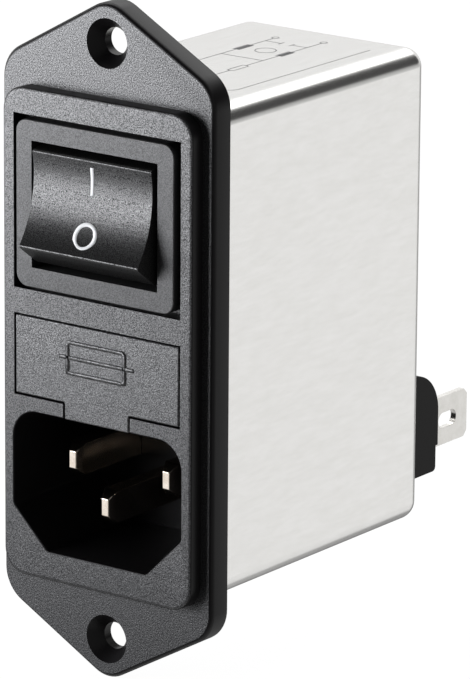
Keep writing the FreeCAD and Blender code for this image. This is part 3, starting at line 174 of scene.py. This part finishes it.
def clear_glass(name):
    """Drawn soda-lime glass tube: clear with a faint green edge."""
    return surface(name, "#eef6f2", 0.03, **{"Transmission Weight": 1.0, "IOR": GLASS_IOR})[0]


# Glass-filled nylon, spark eroded: dull dark grey that sparkles in fine points
housing_nylon = spark_eroded_nylon(
    "spark_eroded_nylon", "#141416", "#202022", 0.43, size=0.17, depth=0.036, sheen=0.75, sparkle=1.1)
# The same from a finer mould, so the rocker has the smoothest sheen of the front
rocker_nylon = spark_eroded_nylon(
    "rocker_spark_eroded_nylon", "#131313", "#202020", 0.29, size=0.13, depth=0.014, sheen=0.4, sparkle=0.8)
# The same from the drawer's own mould: a shade brighter and more lively
drawer_nylon = spark_eroded_nylon(
    "drawer_spark_eroded_nylon", "#151517", "#212123", 0.42, size=0.17, depth=0.036, sheen=0.88, sparkle=1.2)
# The same from the bezel's own mould: even and soft, with few points
bezel_nylon = spark_eroded_nylon(
    "bezel_spark_eroded_nylon", "#161617", "#1e1e1f", 0.5, size=0.13, depth=0.014, sheen=0.64, sparkle=0.5)
# Nylon smoother along the draw; its darker colour and faint sheen are painted shade on the walls, holes and
# socket
shaded_wall_nylon = satin_plastic("draw_polished_nylon_painted_shade", "#131213", 0.34, sheen=0.2)
# Nylon, moulded and left matt: a deep black block with hardly a sheen
block_nylon = satin_plastic("block_black_nylon", "#100f0f", 0.5, depth=0.016, sheen=0.16)
# Phenolic plastic, pressed: a brownish black with a soft sheen
base_phenolic = satin_plastic("base_phenolic_plastic", "#2a2422", 0.5)
# Tinplate, deep drawn: a pale can that shows the studio in soft, clouded bands
can_tinplate = drawn_tinplate("deep_drawn_tinplate", "#ecebe8", "#f3f2f0")
# Brass, nickel plated: warm bright pins with clear reflections
pin_nickel = bright_metal("nickel_plated_brass", "#cfc2b2", "#e2d8cb", 0.17)
# Brass, tin plated: white satin tabs
tab_tin = bright_metal("tin_plated_brass", "#e4e2dd", "#efede9", 0.3)
# Copper, silver plated: a white metal, a little softer than nickel
contact_silver = bright_metal("silver_plated_copper", "#c8c6bf", "#dcdad4", 0.25)
# Phosphor bronze, rolled: golden brown springs with a soft shine
leaf_bronze = bright_metal("rolled_phosphor_bronze", "#b98d55", "#cda468", 0.3)
# Spring steel, drawn to wire: middle grey with a soft shine
music_wire = bright_metal("drawn_spring_steel", "#85858a", "#9c9ca0", 0.3)
# Soda-lime glass, drawn to a tube: clear, with bright edges
fuse_glass = clear_glass("drawn_soda_glass")
# Ferrite, ground: dull dark grey
core_ferrite = mottled_body("ground_ferrite", "#2b2b2e", "#3a3a3d", 0.6, size=0.4)
# Copper, enamelled: a reddish brown metal with a soft shine
wire_enamel = bright_metal("enamelled_copper", "#a5521f", "#bf6a2c", 0.3)
# Glass-fibre laminate, coated with solder mask: dark green, slightly mottled, half gloss
board_mask = mottled_body("solder_masked_laminate", "#1c4a2a", "#24603a", 0.45, size=0.8)
# Film capacitor, moulded: ochre yellow with a soft shine
film_case = mottled_body("moulded_film_capacitor", "#b99a2e", "#cfae3d", 0.4)
# Epoxy, dipped: a blue skin, a little uneven
disc_epoxy = mottled_body("dipped_epoxy_disc", "#2a5c98", "#3470b0", 0.35)
# Resistor, lacquered: beige and half gloss
resistor_lacquer = mottled_body("lacquered_resistor", "#b7a176", "#cbb58a", 0.45)

MATERIAL_OF = {
    "housing_plastic": housing_nylon, "bezel_plastic": bezel_nylon, "black_plastic": block_nylon,
    "base_plastic": base_phenolic, "can_steel": can_tinplate, "nickel_plate": pin_nickel,
    "tinned_brass": tab_tin, "silver_contact": contact_silver, "spring_bronze": leaf_bronze,
    "spring_steel": music_wire, "fuse_glass": fuse_glass, "ferrite": core_ferrite,
    "copper_wire": wire_enamel, "board_laminate": board_mask, "capacitor_case": film_case,
    "disc_coating": disc_epoxy, "resistor_body": resistor_lacquer,
}


# Skins over the CAD pieces

JOIN_GAP, CUT_GAP, FLAT_ANGLE = 2e-6, 1e-7, math.radians(0.3)
STEEP, SOCKET_DEEP = 0.82, 2.0 * MM
HOLE_RISE, HOLE_RADIUS, RIM_GAP = 36.4 * MM, 1.65 * MM, 0.02 * MM
FLANGE_FACE, FLANGE_REAR = -3.0 * MM, -0.1 * MM


def new_piece(name, mesh, material):
    """A scene object at the origin with one material."""
    piece = bpy.data.objects.new(name, mesh)
    bpy.context.scene.collection.objects.link(piece)
    mesh.materials.append(material)
    return piece


def made_plain(piece):
    """The piece with its modifiers applied to its mesh and removed."""
    bpy.context.view_layer.update()
    shape = piece.evaluated_get(bpy.context.evaluated_depsgraph_get())
    mesh = bpy.data.meshes.new_from_object(shape)
    piece.modifiers.clear()
    piece.data = mesh
    return piece


def merged_copy(node):
    """A mesh of the CAD node with its loose triangles joined and its flat faces whole again."""
    work = bmesh.new()
    work.from_mesh(frame["nodes"][node].data)
    bmesh.ops.remove_doubles(work, verts=work.verts, dist=JOIN_GAP)
    bmesh.ops.dissolve_limit(work, angle_limit=FLAT_ANGLE, verts=work.verts, edges=work.edges)
    return work


def wall_face(face):
    """Whether the face gets the wall material, whose darkness is painted shade: it runs along Y, as the draw
    does, or lies deep.
    """
    return abs(face.normal.y) < STEEP or face.calc_center_median().y > SOCKET_DEEP


def shaded(work, name, material, sharp=50.0, bevel=0.0, crisp=None, wall=None):
    """The finished skin: soft across shallow edges, hard at sharp and crisp ones, bevelled if asked.

    A wall material, darker as painted shade, goes on the faces that run along the draw or lie deep."""
    limit = math.radians(sharp)
    for face in work.faces:
        face.smooth = True
        face.material_index = 1 if wall and wall_face(face) else 0
    for edge in work.edges:
        edge.smooth = len(edge.link_faces) == 2 and edge.calc_face_angle(0.0) < limit
        if crisp and all(crisp(vert.co) for vert in edge.verts):
            edge.smooth = False
    mesh = bpy.data.meshes.new(name)
    work.to_mesh(mesh)
    work.free()
    piece = new_piece(name, mesh, material)
    if wall:
        mesh.materials.append(wall)
    if bevel:
        rounding = piece.modifiers.new("edge_rounding", "BEVEL")
        rounding.width = bevel * MM
        rounding.segments = 2
        rounding.limit_method = "ANGLE"
        rounding.angle_limit = limit
        rounding.use_clamp_overlap = True
        rounding.harden_normals = False
        rounding.miter_outer = "MITER_ARC"
    weighting = piece.modifiers.new("face_weights", "WEIGHTED_NORMAL")
    weighting.keep_sharp = True
    return made_plain(piece)


def dress(piece, node):
    """The piece moves with the node's body and stands for it."""
    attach(piece, BODY_OF[node])
    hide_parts(node)


def skin(node, material, **finish):
    """A smooth skin in place of one CAD node."""
    dress(shaded(merged_copy(node), node + "_skin", material, **finish), node)


def rims_a_screw_bore(point):
    """Whether the point lies on the edge between a countersink and its bore."""
    from_axis = math.hypot(point.x, abs(point.z) - HOLE_RISE)
    return abs(from_axis - HOLE_RADIUS) < RIM_GAP and FLANGE_FACE < point.y < FLANGE_REAR


for name, node in frame["nodes"].items():
    node.data.materials.clear()
    node.data.materials.append(MATERIAL_OF[SLOT_OF[name]])

# The front's walls, holes and socket get the darker wall material: painted shade.
skin("front_housing", housing_nylon, crisp=rims_a_screw_bore, wall=shaded_wall_nylon)
skin("switch_frame", bezel_nylon)
skin("fuse_drawer", drawer_nylon, bevel=0.16)
skin("filter_can", can_tinplate)
skin("terminal_block", block_nylon)
for contact in ("line_pin", "neutral_pin", "earth_pin"):
    skin(contact, pin_nickel, bevel=0.06)
for tab in ("line_load_tab", "neutral_load_tab", "earth_tab"):
    skin(tab, tab_tin, bevel=0.06)


# Rocker

PIVOT = Vector((0.0, -2.2 * MM, 16.22 * MM))
ROCKER_TILT = math.radians(-13.0)
TILTED = Matrix.Translation(PIVOT) @ Matrix.Rotation(ROCKER_TILT, 4, "X")
FACE_HEIGHT, FACE_REACH, FACE_HOLLOW = 11.56 * MM, 5.24 * MM, 1.3 * MM
HOLLOW_RADIUS = FACE_HEIGHT ** 2 / 8 / FACE_HOLLOW + FACE_HOLLOW / 2
FACE_STRIPS, FACE_EDGE, FACE_GAP = 24, 0.3 * MM, 0.25 * MM


def hollow_depth(rise):
    """Where the hollow face lies along Y at that rise, in the rocker's own frame."""
    return -(FACE_REACH - FACE_HOLLOW) - HOLLOW_RADIUS + math.sqrt(HOLLOW_RADIUS ** 2 - rise ** 2)


def make_rocker():
    """The rocker with its hollow face cut into fine strips that follow the true arc."""
    work = merged_copy("rocker")
    bmesh.ops.transform(work, matrix=TILTED.inverted(), verts=work.verts)
    for i in range(1, FACE_STRIPS):
        rise = FACE_HEIGHT * (i / FACE_STRIPS - 0.5)
        bmesh.ops.bisect_plane(work, geom=work.verts[:] + work.edges[:] + work.faces[:], dist=CUT_GAP,
                               plane_co=(0, 0, rise), plane_no=(0, 0, 1))
    for vert in work.verts:
        x, y, z = vert.co
        if abs(z) < FACE_HEIGHT / 2 - FACE_EDGE and y < 0 and abs(y - hollow_depth(z)) < FACE_GAP:
            vert.co.y = hollow_depth(z)
    bmesh.ops.transform(work, matrix=TILTED, verts=work.verts)
    dress(shaded(work, "rocker_skin", rocker_nylon, sharp=40.0, bevel=0.16), "rocker")


make_rocker()


# Lines that lie on a surface: the rocker's marks, the drawer's ridges and the can's print

LINE_REACH = 50 * MM


def new_tree(name, **inputs):
    """An empty Geometry Nodes tree with inputs of those kinds; returns it and what its input node gives."""
    tree = bpy.data.node_groups.new(name, "GeometryNodeTree")
    tree.interface.new_socket("Geometry", in_out="INPUT", socket_type="NodeSocketGeometry")
    tree.interface.new_socket("Geometry", in_out="OUTPUT", socket_type="NodeSocketGeometry")
    for label, kind in inputs.items():
        tree.interface.new_socket(label, in_out="INPUT", socket_type="NodeSocket" + kind)
    return tree, add(tree, "NodeGroupInput").outputs


def close_tree(tree, geometry, material):
    """Ends a tree in Realize Instances and Set Material."""
    real = add(tree, "GeometryNodeRealizeInstances", {"Geometry": geometry})
    coated = add(tree, "GeometryNodeSetMaterial", {
        "Geometry": real.outputs["Geometry"], "Material": material})
    add(tree, "NodeGroupOutput", {"Geometry": coated.outputs["Geometry"]})


def lines_on_surface():
    """Tree: edges are laid on the ground object along a direction and get a rectangular section."""
    tree, give = new_tree("lines_on_surface", Ground="Object", Toward="Vector", Width="Float",
                          Height="Float", Step="Float", Finish="Material")
    ground = add(tree, "GeometryNodeObjectInfo", {"Object": give["Ground"]}, transform_space="ORIGINAL")
    path = add(tree, "GeometryNodeMeshToCurve", {"Mesh": give["Geometry"]})
    even = add(tree, "GeometryNodeResampleCurve", {"Curve": path.outputs["Curve"], "Length": give["Step"]},
               mode="LENGTH")
    hit = add(tree, "GeometryNodeRaycast", {
        "Target Geometry": ground.outputs["Geometry"], "Ray Direction": give["Toward"],
        "Ray Length": LINE_REACH})
    laid = add(tree, "GeometryNodeSetPosition", {
        "Geometry": even.outputs["Curve"], "Selection": hit.outputs["Is Hit"],
        "Position": hit.outputs["Hit Position"]})
    upright = add(tree, "GeometryNodeSetCurveNormal", {
        "Curve": laid.outputs["Geometry"], "Normal": give["Toward"]}, mode="FREE")
    section = add(tree, "GeometryNodeCurvePrimitiveQuadrilateral", {
        "Width": give["Height"], "Height": give["Width"]})
    swept = add(tree, "GeometryNodeCurveToMesh", {
        "Curve": upright.outputs["Curve"], "Profile Curve": section.outputs["Curve"], "Fill Caps": True})
    close_tree(tree, swept.outputs["Mesh"], give["Finish"])
    return tree


def grown(name, mesh, tree, values):
    """A plain piece made by running the tree on the mesh with those input values."""
    piece = bpy.data.objects.new(name, mesh)
    bpy.context.scene.collection.objects.link(piece)
    maker = piece.modifiers.new("maker", "NODES")
    maker.node_group = tree
    for item in tree.interface.items_tree:
        if item.item_type == "SOCKET" and item.in_out == "INPUT" and item.name in values:
            maker[item.identifier] = values[item.name]
    return made_plain(piece)


def line_mesh(name, lines):
    """A mesh of edges only: each line is a list of points in metres, and one whose ends meet is closed."""
    points, edges = [], []
    for line in lines:
        first = len(points)
        closed = line[0] == line[-1] and len(line) > 2
        kept = line[:-1] if closed else line
        points += kept
        edges += [(first + i, first + i + 1) for i in range(len(kept) - 1)]
        if closed:
            edges.append((len(points) - 1, first))
    mesh = bpy.data.meshes.new(name)
    mesh.from_pydata(points, edges, [])
    return mesh


def ring(across, up, radius, count=48):
    """A closed ring of flat points (across, up)."""
    flat = [(across + radius * math.cos(math.tau * i / count),
             up + radius * math.sin(math.tau * i / count)) for i in range(count)]
    return flat + flat[:1]


# Ink, pad printed: opaque white, and grey on the can, both without a shine
INK_ROUGHNESS, INK_SHEEN = 0.8, {"Specular IOR Level": 0.15}
print_white = surface("pad_printed_white_ink", "#eeeff0", INK_ROUGHNESS, **INK_SHEEN)[0]
print_grey = surface("pad_printed_grey_ink", "#8f8f8f", INK_ROUGHNESS, **INK_SHEEN)[0]
surface_lines = lines_on_surface()

BEFORE_FACE = -9.0
MARK_RISE, MARK_REACH, BAR_WIDTH, RING_RADIUS, RING_WIDTH = 3.27, 1.62, 0.48, 1.43, 0.58
MARK_HEIGHT, MARK_STEP = 0.05, 0.15


def on_rocker(flat):
    """Flat points (across, rise) just in front of the rocker's face at rest."""
    return [tuple(TILTED @ Vector((x * MM, BEFORE_FACE * MM, z * MM))) for x, z in flat]


rocker_toward = TILTED.to_3x3() @ Vector((0.0, 1.0, 0.0))
for name, flat, width in (
        ("rocker_bar", [(0.0, MARK_RISE - MARK_REACH), (0.0, MARK_RISE + MARK_REACH)], BAR_WIDTH),
        ("rocker_ring", ring(0.0, -MARK_RISE, RING_RADIUS), RING_WIDTH)):
    mark = grown(name, line_mesh(name, [on_rocker(flat)]), surface_lines, {
        "Ground": bpy.data.objects["rocker_skin"], "Toward": rocker_toward, "Width": width * MM,
        "Height": MARK_HEIGHT * MM, "Step": MARK_STEP * MM, "Finish": print_white})
    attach(mark, "rocker")


FUSE_LEFT, FUSE_RIGHT, FUSE_LOW, FUSE_HIGH, FUSE_WIRE = -4.3, 4.15, -3.6, 0.16, 5.5
FUSE_MIDDLE = (FUSE_LOW + FUSE_HIGH) / 2
RIDGE_WIDTH, RIDGE_HEIGHT, RIDGE_STEP = 0.5, 0.22, 0.5


def on_drawer(flat):
    """Flat points (across, height) just in front of the drawer's face."""
    return [(x * MM, BEFORE_FACE * MM, z * MM) for x, z in flat]


fuse_sign = line_mesh("fuse_sign", [
    on_drawer([(FUSE_LEFT, FUSE_LOW), (FUSE_RIGHT, FUSE_LOW), (FUSE_RIGHT, FUSE_HIGH),
               (FUSE_LEFT, FUSE_HIGH), (FUSE_LEFT, FUSE_LOW)]),
    on_drawer([(-FUSE_WIRE, FUSE_MIDDLE), (FUSE_WIRE, FUSE_MIDDLE)])])
sign = grown("drawer_fuse_sign", fuse_sign, surface_lines, {
    "Ground": bpy.data.objects["fuse_drawer_skin"], "Toward": (0.0, 1.0, 0.0),
    "Width": RIDGE_WIDTH * MM, "Height": RIDGE_HEIGHT * MM, "Step": RIDGE_STEP * MM,
    "Finish": drawer_nylon})
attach(sign, "drawer")


# The can's print, seen from above: x is across, y is back from the panel
CAN_TOP, ABOVE_CAN = 29.9, 4.0
INK_HEIGHT, INK_STEP, INK_WIDTH, BLOCK_WIDTH = 0.02, 0.3, 0.13, 1.0
FRAME_HALF, FRAME_FRONT, FRAME_BACK, FRAME_CORNER = 8.0, 8.9, 36.8, 1.35
LINE_ROW, MIDDLE_ROW, NEUTRAL_ROW = -3.7, -0.5, 2.55
PATHS_FRONT, LINE_BACK, NEUTRAL_BACK = 12.0, 34.8, 36.2
DOTS_FRONT, LINE_DOT, NEUTRAL_DOT, DOT_RADIUS, DOT_POINTS = 11.5, 35.3, 36.7, 0.45, 16
BOX_FRONT, BOX_BACK, BOX_WIDTH, BOX_CORNER = 17.6, 20.8, 0.9, 0.05
LOOP_PLACE, LOOP_RADIUS = 28.9, 1.3
FRONT_RUNG, BACK_RUNG, PLATE_GAP, PLATE_HALF = 24.2, 33.2, 0.8, 0.6
LINE_BLOCK, NEUTRAL_BLOCK = (27.2, 30.2), (27.4, 30.1)


def on_can(flat):
    """Flat points (across, back) above the can's top."""
    return [(x * MM, y * MM, (CAN_TOP + ABOVE_CAN) * MM) for x, y in flat]


def box_outline(x, front, back):
    """A closed rectangle of flat points round a row, its corners just cut."""
    y = (front + back) / 2
    across, along = BOX_WIDTH / 2 - BOX_CORNER, (back - front) / 2 - BOX_CORNER
    flat = [(x + right * across + BOX_CORNER * math.cos(math.radians(angle)),
             y + rear * along + BOX_CORNER * math.sin(math.radians(angle)))
            for right, rear, start in ((1, -1, -90), (1, 1, 0), (-1, 1, 90), (-1, -1, 180))
            for angle in (start, start + 90)]
    return flat + flat[:1]


frame_line = [(-FRAME_HALF, FRAME_FRONT), (FRAME_HALF, FRAME_FRONT)] + [
    (FRAME_HALF + FRAME_CORNER * math.sin(math.radians(angle)),
     FRAME_FRONT + FRAME_CORNER - FRAME_CORNER * math.cos(math.radians(angle)))
    for angle in range(10, 91, 10)] + [(FRAME_HALF + FRAME_CORNER, FRAME_BACK)]
left_plate, right_plate = MIDDLE_ROW - PLATE_GAP, MIDDLE_ROW + PLATE_GAP
diagram_lines = [
    frame_line,
    [(LINE_ROW, PATHS_FRONT), (LINE_ROW, LINE_BACK)],
    [(NEUTRAL_ROW, PATHS_FRONT), (NEUTRAL_ROW, BOX_FRONT)],
    [(NEUTRAL_ROW, BOX_BACK), (NEUTRAL_ROW, NEUTRAL_BACK)],
    box_outline(NEUTRAL_ROW, BOX_FRONT, BOX_BACK),
    ring(MIDDLE_ROW, LOOP_PLACE, LOOP_RADIUS),
    [(LINE_ROW, FRONT_RUNG), (NEUTRAL_ROW, FRONT_RUNG)],
    [(LINE_ROW, BACK_RUNG), (left_plate, BACK_RUNG)],
    [(right_plate, BACK_RUNG), (NEUTRAL_ROW, BACK_RUNG)],
    [(left_plate, BACK_RUNG - PLATE_HALF), (left_plate, BACK_RUNG + PLATE_HALF)],
    [(right_plate, BACK_RUNG - PLATE_HALF), (right_plate, BACK_RUNG + PLATE_HALF)],
] + [ring(row, dot, DOT_RADIUS, DOT_POINTS) for row, dot in (
    (LINE_ROW, LINE_DOT), (NEUTRAL_ROW, NEUTRAL_DOT), (LINE_ROW, DOTS_FRONT), (NEUTRAL_ROW, DOTS_FRONT))]
diagram_blocks = [[(row, end) for end in block]
                  for row, block in ((LINE_ROW, LINE_BLOCK), (NEUTRAL_ROW, NEUTRAL_BLOCK))]
for name, flat_lines, width in (("can_diagram_lines", diagram_lines, INK_WIDTH),
                                ("can_diagram_blocks", diagram_blocks, BLOCK_WIDTH)):
    ink = grown(name, line_mesh(name, [on_can(flat) for flat in flat_lines]), surface_lines, {
        "Ground": bpy.data.objects["filter_can_skin"], "Toward": (0.0, 0.0, -1.0),
        "Width": width * MM, "Height": INK_HEIGHT * MM, "Step": INK_STEP * MM, "Finish": print_grey})
    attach(ink, "housing")


# Wound wire: the plungers' springs and the choke's windings

COIL_POINTS, SPRING_SIDES, WINDING_SIDES, LOOP_CORNER_POINTS = 32, 10, 12, 5


def coil_spring():
    """Tree: a round wire wound on a cylinder, closed at neither end, put at a place and turned."""
    tree, give = new_tree("coil_spring", Radius="Float", Wire="Float", Turns="Float", Length="Float",
                          Place="Vector", Turn="Rotation", Finish="Material")
    line = add(tree, "GeometryNodeCurveSpiral", {
        "Resolution": COIL_POINTS, "Rotations": give["Turns"], "Start Radius": give["Radius"],
        "End Radius": give["Radius"], "Height": give["Length"]})
    half = add(tree, "ShaderNodeMath", {0: give["Wire"], 1: 0.5}, operation="MULTIPLY").outputs["Value"]
    section = add(tree, "GeometryNodeCurvePrimitiveCircle", {"Resolution": SPRING_SIDES, "Radius": half})
    wire = add(tree, "GeometryNodeCurveToMesh", {
        "Curve": line.outputs["Curve"], "Profile Curve": section.outputs["Curve"], "Fill Caps": True})
    placed = add(tree, "GeometryNodeTransform", {
        "Geometry": wire.outputs["Mesh"], "Translation": give["Place"], "Rotation": give["Turn"]})
    close_tree(tree, placed.outputs["Geometry"], give["Finish"])
    return tree


def turns_round_core():
    """Tree: separate turns of thick wire round one side of a ring core whose axis is Y."""
    tree, give = new_tree("turns_round_core", Count="Int", Wire="Float", Middle="Float", Build="Float",
                          Thick="Float", Start="Float", Step="Float", Place="Vector", Finish="Material")
    half = add(tree, "ShaderNodeMath", {0: give["Wire"], 1: 0.5}, operation="MULTIPLY").outputs["Value"]
    loop = add(tree, "GeometryNodeCurvePrimitiveQuadrilateral", {
        "Width": give["Build"], "Height": give["Thick"]})
    eased = add(tree, "GeometryNodeFilletCurve", {
        "Curve": loop.outputs["Curve"], "Count": LOOP_CORNER_POINTS, "Radius": give["Wire"]}, mode="POLY")
    section = add(tree, "GeometryNodeCurvePrimitiveCircle", {"Resolution": WINDING_SIDES, "Radius": half})
    wire = add(tree, "GeometryNodeCurveToMesh", {
        "Curve": eased.outputs["Curve"], "Profile Curve": section.outputs["Curve"]})
    reach = add(tree, "ShaderNodeCombineXYZ", {"X": give["Middle"]})
    turn = add(tree, "GeometryNodeTransform", {
        "Geometry": wire.outputs["Mesh"], "Translation": reach.outputs["Vector"]})
    places = add(tree, "GeometryNodePoints", {"Count": give["Count"]})
    number = add(tree, "GeometryNodeInputIndex").outputs["Index"]
    step = add(tree, "ShaderNodeMath", {0: number, 1: give["Step"], 2: give["Start"]},
               operation="MULTIPLY_ADD")
    angle = add(tree, "ShaderNodeCombineXYZ", {"Y": step.outputs["Value"]})
    spread = add(tree, "GeometryNodeInstanceOnPoints", {
        "Points": places.outputs["Points"], "Instance": turn.outputs["Geometry"],
        "Rotation": angle.outputs["Vector"]})
    placed = add(tree, "GeometryNodeTransform", {
        "Geometry": spread.outputs["Instances"], "Translation": give["Place"]})
    close_tree(tree, placed.outputs["Geometry"], give["Finish"])
    return tree


def box_of(node):
    """The middle and the size of a CAD node's box, in metres."""
    corners = [vert.co for vert in frame["nodes"][node].data.vertices]
    low = Vector([min(corner[axis] for corner in corners) for axis in range(3)])
    high = Vector([max(corner[axis] for corner in corners) for axis in range(3)])
    return (low + high) / 2, high - low


SPRING_START, SPRING_LENGTH, SPRING_RADIUS, SPRING_WIRE, SPRING_TURNS = -1.4, 3.6, 1.35, 0.3, 6.5
WINDING_TURNS, WINDING_WIRE, WINDING_ARC, CORE_BUILD, WINDING_LIFT = 8, 1.2, 112.0, 3.9, 0.1
spring_tree = coil_spring()
winding_tree = turns_round_core()
core_middle, core_size = box_of("choke_core")
for pole, side in POLES:
    spring = grown(pole + "_round_spring", bpy.data.meshes.new(pole + "_round_spring"), spring_tree, {
        "Radius": SPRING_RADIUS * MM, "Wire": SPRING_WIRE * MM, "Turns": SPRING_TURNS,
        "Length": SPRING_LENGTH * MM, "Finish": music_wire,
        "Place": TILTED @ Vector((box_of(pole + "_plunger")[0].x, SPRING_START * MM, 0.0)),
        "Turn": (math.radians(-90) + ROCKER_TILT, 0.0, 0.0)})
    dress(spring, pole + "_plunger_spring")
    turn_gap = math.radians(WINDING_ARC) / (WINDING_TURNS - 1)
    facing = math.pi if side < 0 else 0.0
    wound = grown(pole + "_wound_wire", bpy.data.meshes.new(pole + "_wound_wire"), winding_tree, {
        "Count": WINDING_TURNS, "Wire": WINDING_WIRE * MM,
        "Middle": core_size.x / 2 - CORE_BUILD * MM / 2,
        "Build": (CORE_BUILD + WINDING_WIRE + 2 * WINDING_LIFT) * MM,
        "Thick": core_size.y + (WINDING_WIRE + 2 * WINDING_LIFT) * MM,
        "Start": facing - math.radians(WINDING_ARC) / 2, "Step": turn_gap,
        "Place": core_middle, "Finish": wire_enamel})
    dress(wound, pole + "_winding")


# Light, floor and camera

LAMP_TINT = (0.955, 0.965, 1.0)


def soft_lamp(name, place, target, width, height, brightness):
    """A rectangular soft lamp that the camera doesn't see; brightness 1 looks as bright as white paper.

    It stands at the place and looks at the target; both and its size are in millimetres."""
    data = bpy.data.lights.new(name, "AREA")
    data.shape = "RECTANGLE"
    data.size, data.size_y = width * MM, height * MM
    data.energy = brightness * math.pi * data.size * data.size_y
    data.color = LAMP_TINT
    lamp = bpy.data.objects.new(name, data)
    bpy.context.scene.collection.objects.link(lamp)
    lamp.visible_camera = False
    place, target = Vector(place) * MM, Vector(target) * MM
    lamp.location = place
    lamp.rotation_euler = (target - place).to_track_quat("-Z", "Y").to_euler()


soft_lamp("key_lamp", place=(-140, -131, 20), target=(0, 0, 20), width=182, height=92, brightness=10.3)
soft_lamp("skirt_lamp", place=(-140, -131, -60), target=(0, 0, -35), width=182, height=66, brightness=1.3)

# The studio by the direction looked in, whose parts run from -1 to 1. Walls: pairs of height and brightness
WALL_LEFT = ((-0.4, 0.22), (-0.2, 0.4), (0.0, 0.8), (0.3, 0.8), (0.42, 1.04), (0.54, 1.1), (0.62, 3.0))
WALL_RIGHT = ((-0.4, 0.82), (-0.3, 0.87), (-0.22, 0.92), (-0.17, 0.92), (-0.12, 0.52), (0.02, 0.52),
              (0.12, 0.05), (0.57, 0.05), (0.66, 1.4))
# Where one part of the studio goes over into the next: start, stop, and the value at each
RANGE_INPUTS = ("From Min", "From Max", "To Min", "To Max")
TO_RIGHT_WALL = (0.1, 0.25, 0.0, 1.0)
FRONT_LEVEL = (0.2, 0.7, 0.02, 0.35)
TO_WALLS = (-0.2, 0.4, 0.0, 1.0)
TABLE_LEVEL = (-0.68, -0.58, 0.6, 0.0)


def level_at(tree, height, levels):
    """The studio's brightness at a height, from pairs of height and brightness."""
    span = add(tree, "ShaderNodeMapRange", {"Value": height, "From Min": -1.0, "From Max": 1.0})
    ramp = add(tree, "ShaderNodeValToRGB", {"Fac": span.outputs["Result"]})
    stops = ramp.color_ramp.elements
    while len(stops) < len(levels):
        stops.new(0.5)
    for stop, (rise, level) in zip(stops, levels):
        stop.position = (rise + 1.0) / 2
        stop.color = (level, level, level, 1.0)
    return ramp.outputs["Color"]


def make_world():
    """White to the camera; to the object a studio with bright walls behind it, a dim front and a table."""
    world = bpy.data.worlds.new("studio")
    bpy.context.scene.world = world
    world.use_nodes = True
    tree = world.node_tree
    tree.nodes.clear()
    way = add(tree, "ShaderNodeTexCoord").outputs["Generated"]
    across, backward, upward = add(tree, "ShaderNodeSeparateXYZ", {"Vector": way}).outputs
    rightward, before, behind, table = [
        add(tree, "ShaderNodeMapRange", {"Value": part, **dict(zip(RANGE_INPUTS, limits))}).outputs["Result"]
        for part, limits in ((across, TO_RIGHT_WALL), (across, FRONT_LEVEL),
                             (backward, TO_WALLS), (upward, TABLE_LEVEL))]
    wall = add(tree, "ShaderNodeMix", {
        0: rightward, 2: level_at(tree, upward, WALL_LEFT), 3: level_at(tree, upward, WALL_RIGHT)})
    level = add(tree, "ShaderNodeMix", {0: behind, 2: before, 3: wall.outputs[0]})
    level = add(tree, "ShaderNodeMath", {0: level.outputs[0], 1: table}, operation="MAXIMUM")
    white = add(tree, "ShaderNodeBackground", {"Color": (1, 1, 1, 1), "Strength": 1.0})
    room = add(tree, "ShaderNodeBackground", {"Color": (1, 1, 1, 1), "Strength": level.outputs["Value"]})
    path = add(tree, "ShaderNodeLightPath").outputs
    seen = add(tree, "ShaderNodeMixShader", {
        0: path["Is Camera Ray"], 1: room.outputs["Background"], 2: white.outputs["Background"]})
    add(tree, "ShaderNodeOutputWorld", {"Surface": seen.outputs["Shader"]})


FLOOR_HALF, FLOOR_HEIGHT = 4000 * MM, -41.25 * MM
FLOOR_WHITE, FLOOR_GLOW = 0.94, 1.04


def make_floor():
    """A plain white floor under the flange's lower edge that keeps a part of the object's shadow."""
    mesh = bpy.data.meshes.new("floor")
    corners = [(x * FLOOR_HALF, y * FLOOR_HALF, FLOOR_HEIGHT)
               for x, y in ((-1, -1), (1, -1), (1, 1), (-1, 1))]
    mesh.from_pydata(corners, [], [(0, 1, 2, 3)])
    paint, tree, shader = surface("studio_floor", "#f2f2f2", 0.9)
    white = add(tree, "ShaderNodeEmission", {"Color": (1, 1, 1, 1), "Strength": FLOOR_GLOW})
    mixed = add(tree, "ShaderNodeMixShader", {
        0: FLOOR_WHITE, 1: shader.outputs["BSDF"], 2: white.outputs["Emission"]})
    output = [node for node in tree.nodes if node.type == "OUTPUT_MATERIAL"][0]
    tree.links.new(mixed.outputs["Shader"], output.inputs["Surface"])
    floor = new_piece("floor", mesh, paint)
    floor.visible_diffuse = False
    floor.visible_glossy = False
    floor.visible_shadow = False


CAMERA_AZIMUTH, CAMERA_ELEVATION, CAMERA_ROLL = (math.radians(a) for a in (36.436, 15.5945, 0.4156))
CAMERA_SHIFT = (13.324, 0.0904)
CAMERA_DISTANCE = 666.228
FOCAL_PIXELS, PHOTO_HEIGHT, SENSOR = 5638.02, 679.0, 36.0


def make_camera():
    """The camera that took the photograph, from its fitted angles, distance and focal length."""
    turn, lift = CAMERA_AZIMUTH, CAMERA_ELEVATION
    back = Vector((math.sin(turn) * math.cos(lift), -math.cos(turn) * math.cos(lift), math.sin(lift)))
    level = (-back).cross(Vector((0, 0, 1))).normalized()
    rise = level.cross(-back)
    right = math.cos(CAMERA_ROLL) * level + math.sin(CAMERA_ROLL) * rise
    up = -math.sin(CAMERA_ROLL) * level + math.cos(CAMERA_ROLL) * rise
    place = (right * CAMERA_SHIFT[0] + up * CAMERA_SHIFT[1] + back * CAMERA_DISTANCE) * MM
    data = bpy.data.cameras.new("photo_camera")
    data.sensor_width = SENSOR
    data.lens = SENSOR * FOCAL_PIXELS / PHOTO_HEIGHT
    camera = bpy.data.objects.new("photo_camera", data)
    bpy.context.scene.collection.objects.link(camera)
    camera.matrix_world = Matrix.Translation(place) @ Matrix((right, up, back)).transposed().to_4x4()
    bpy.context.scene.camera = camera


make_world()
make_floor()
make_camera()
bpy.context.scene.view_settings.view_transform = "Standard"
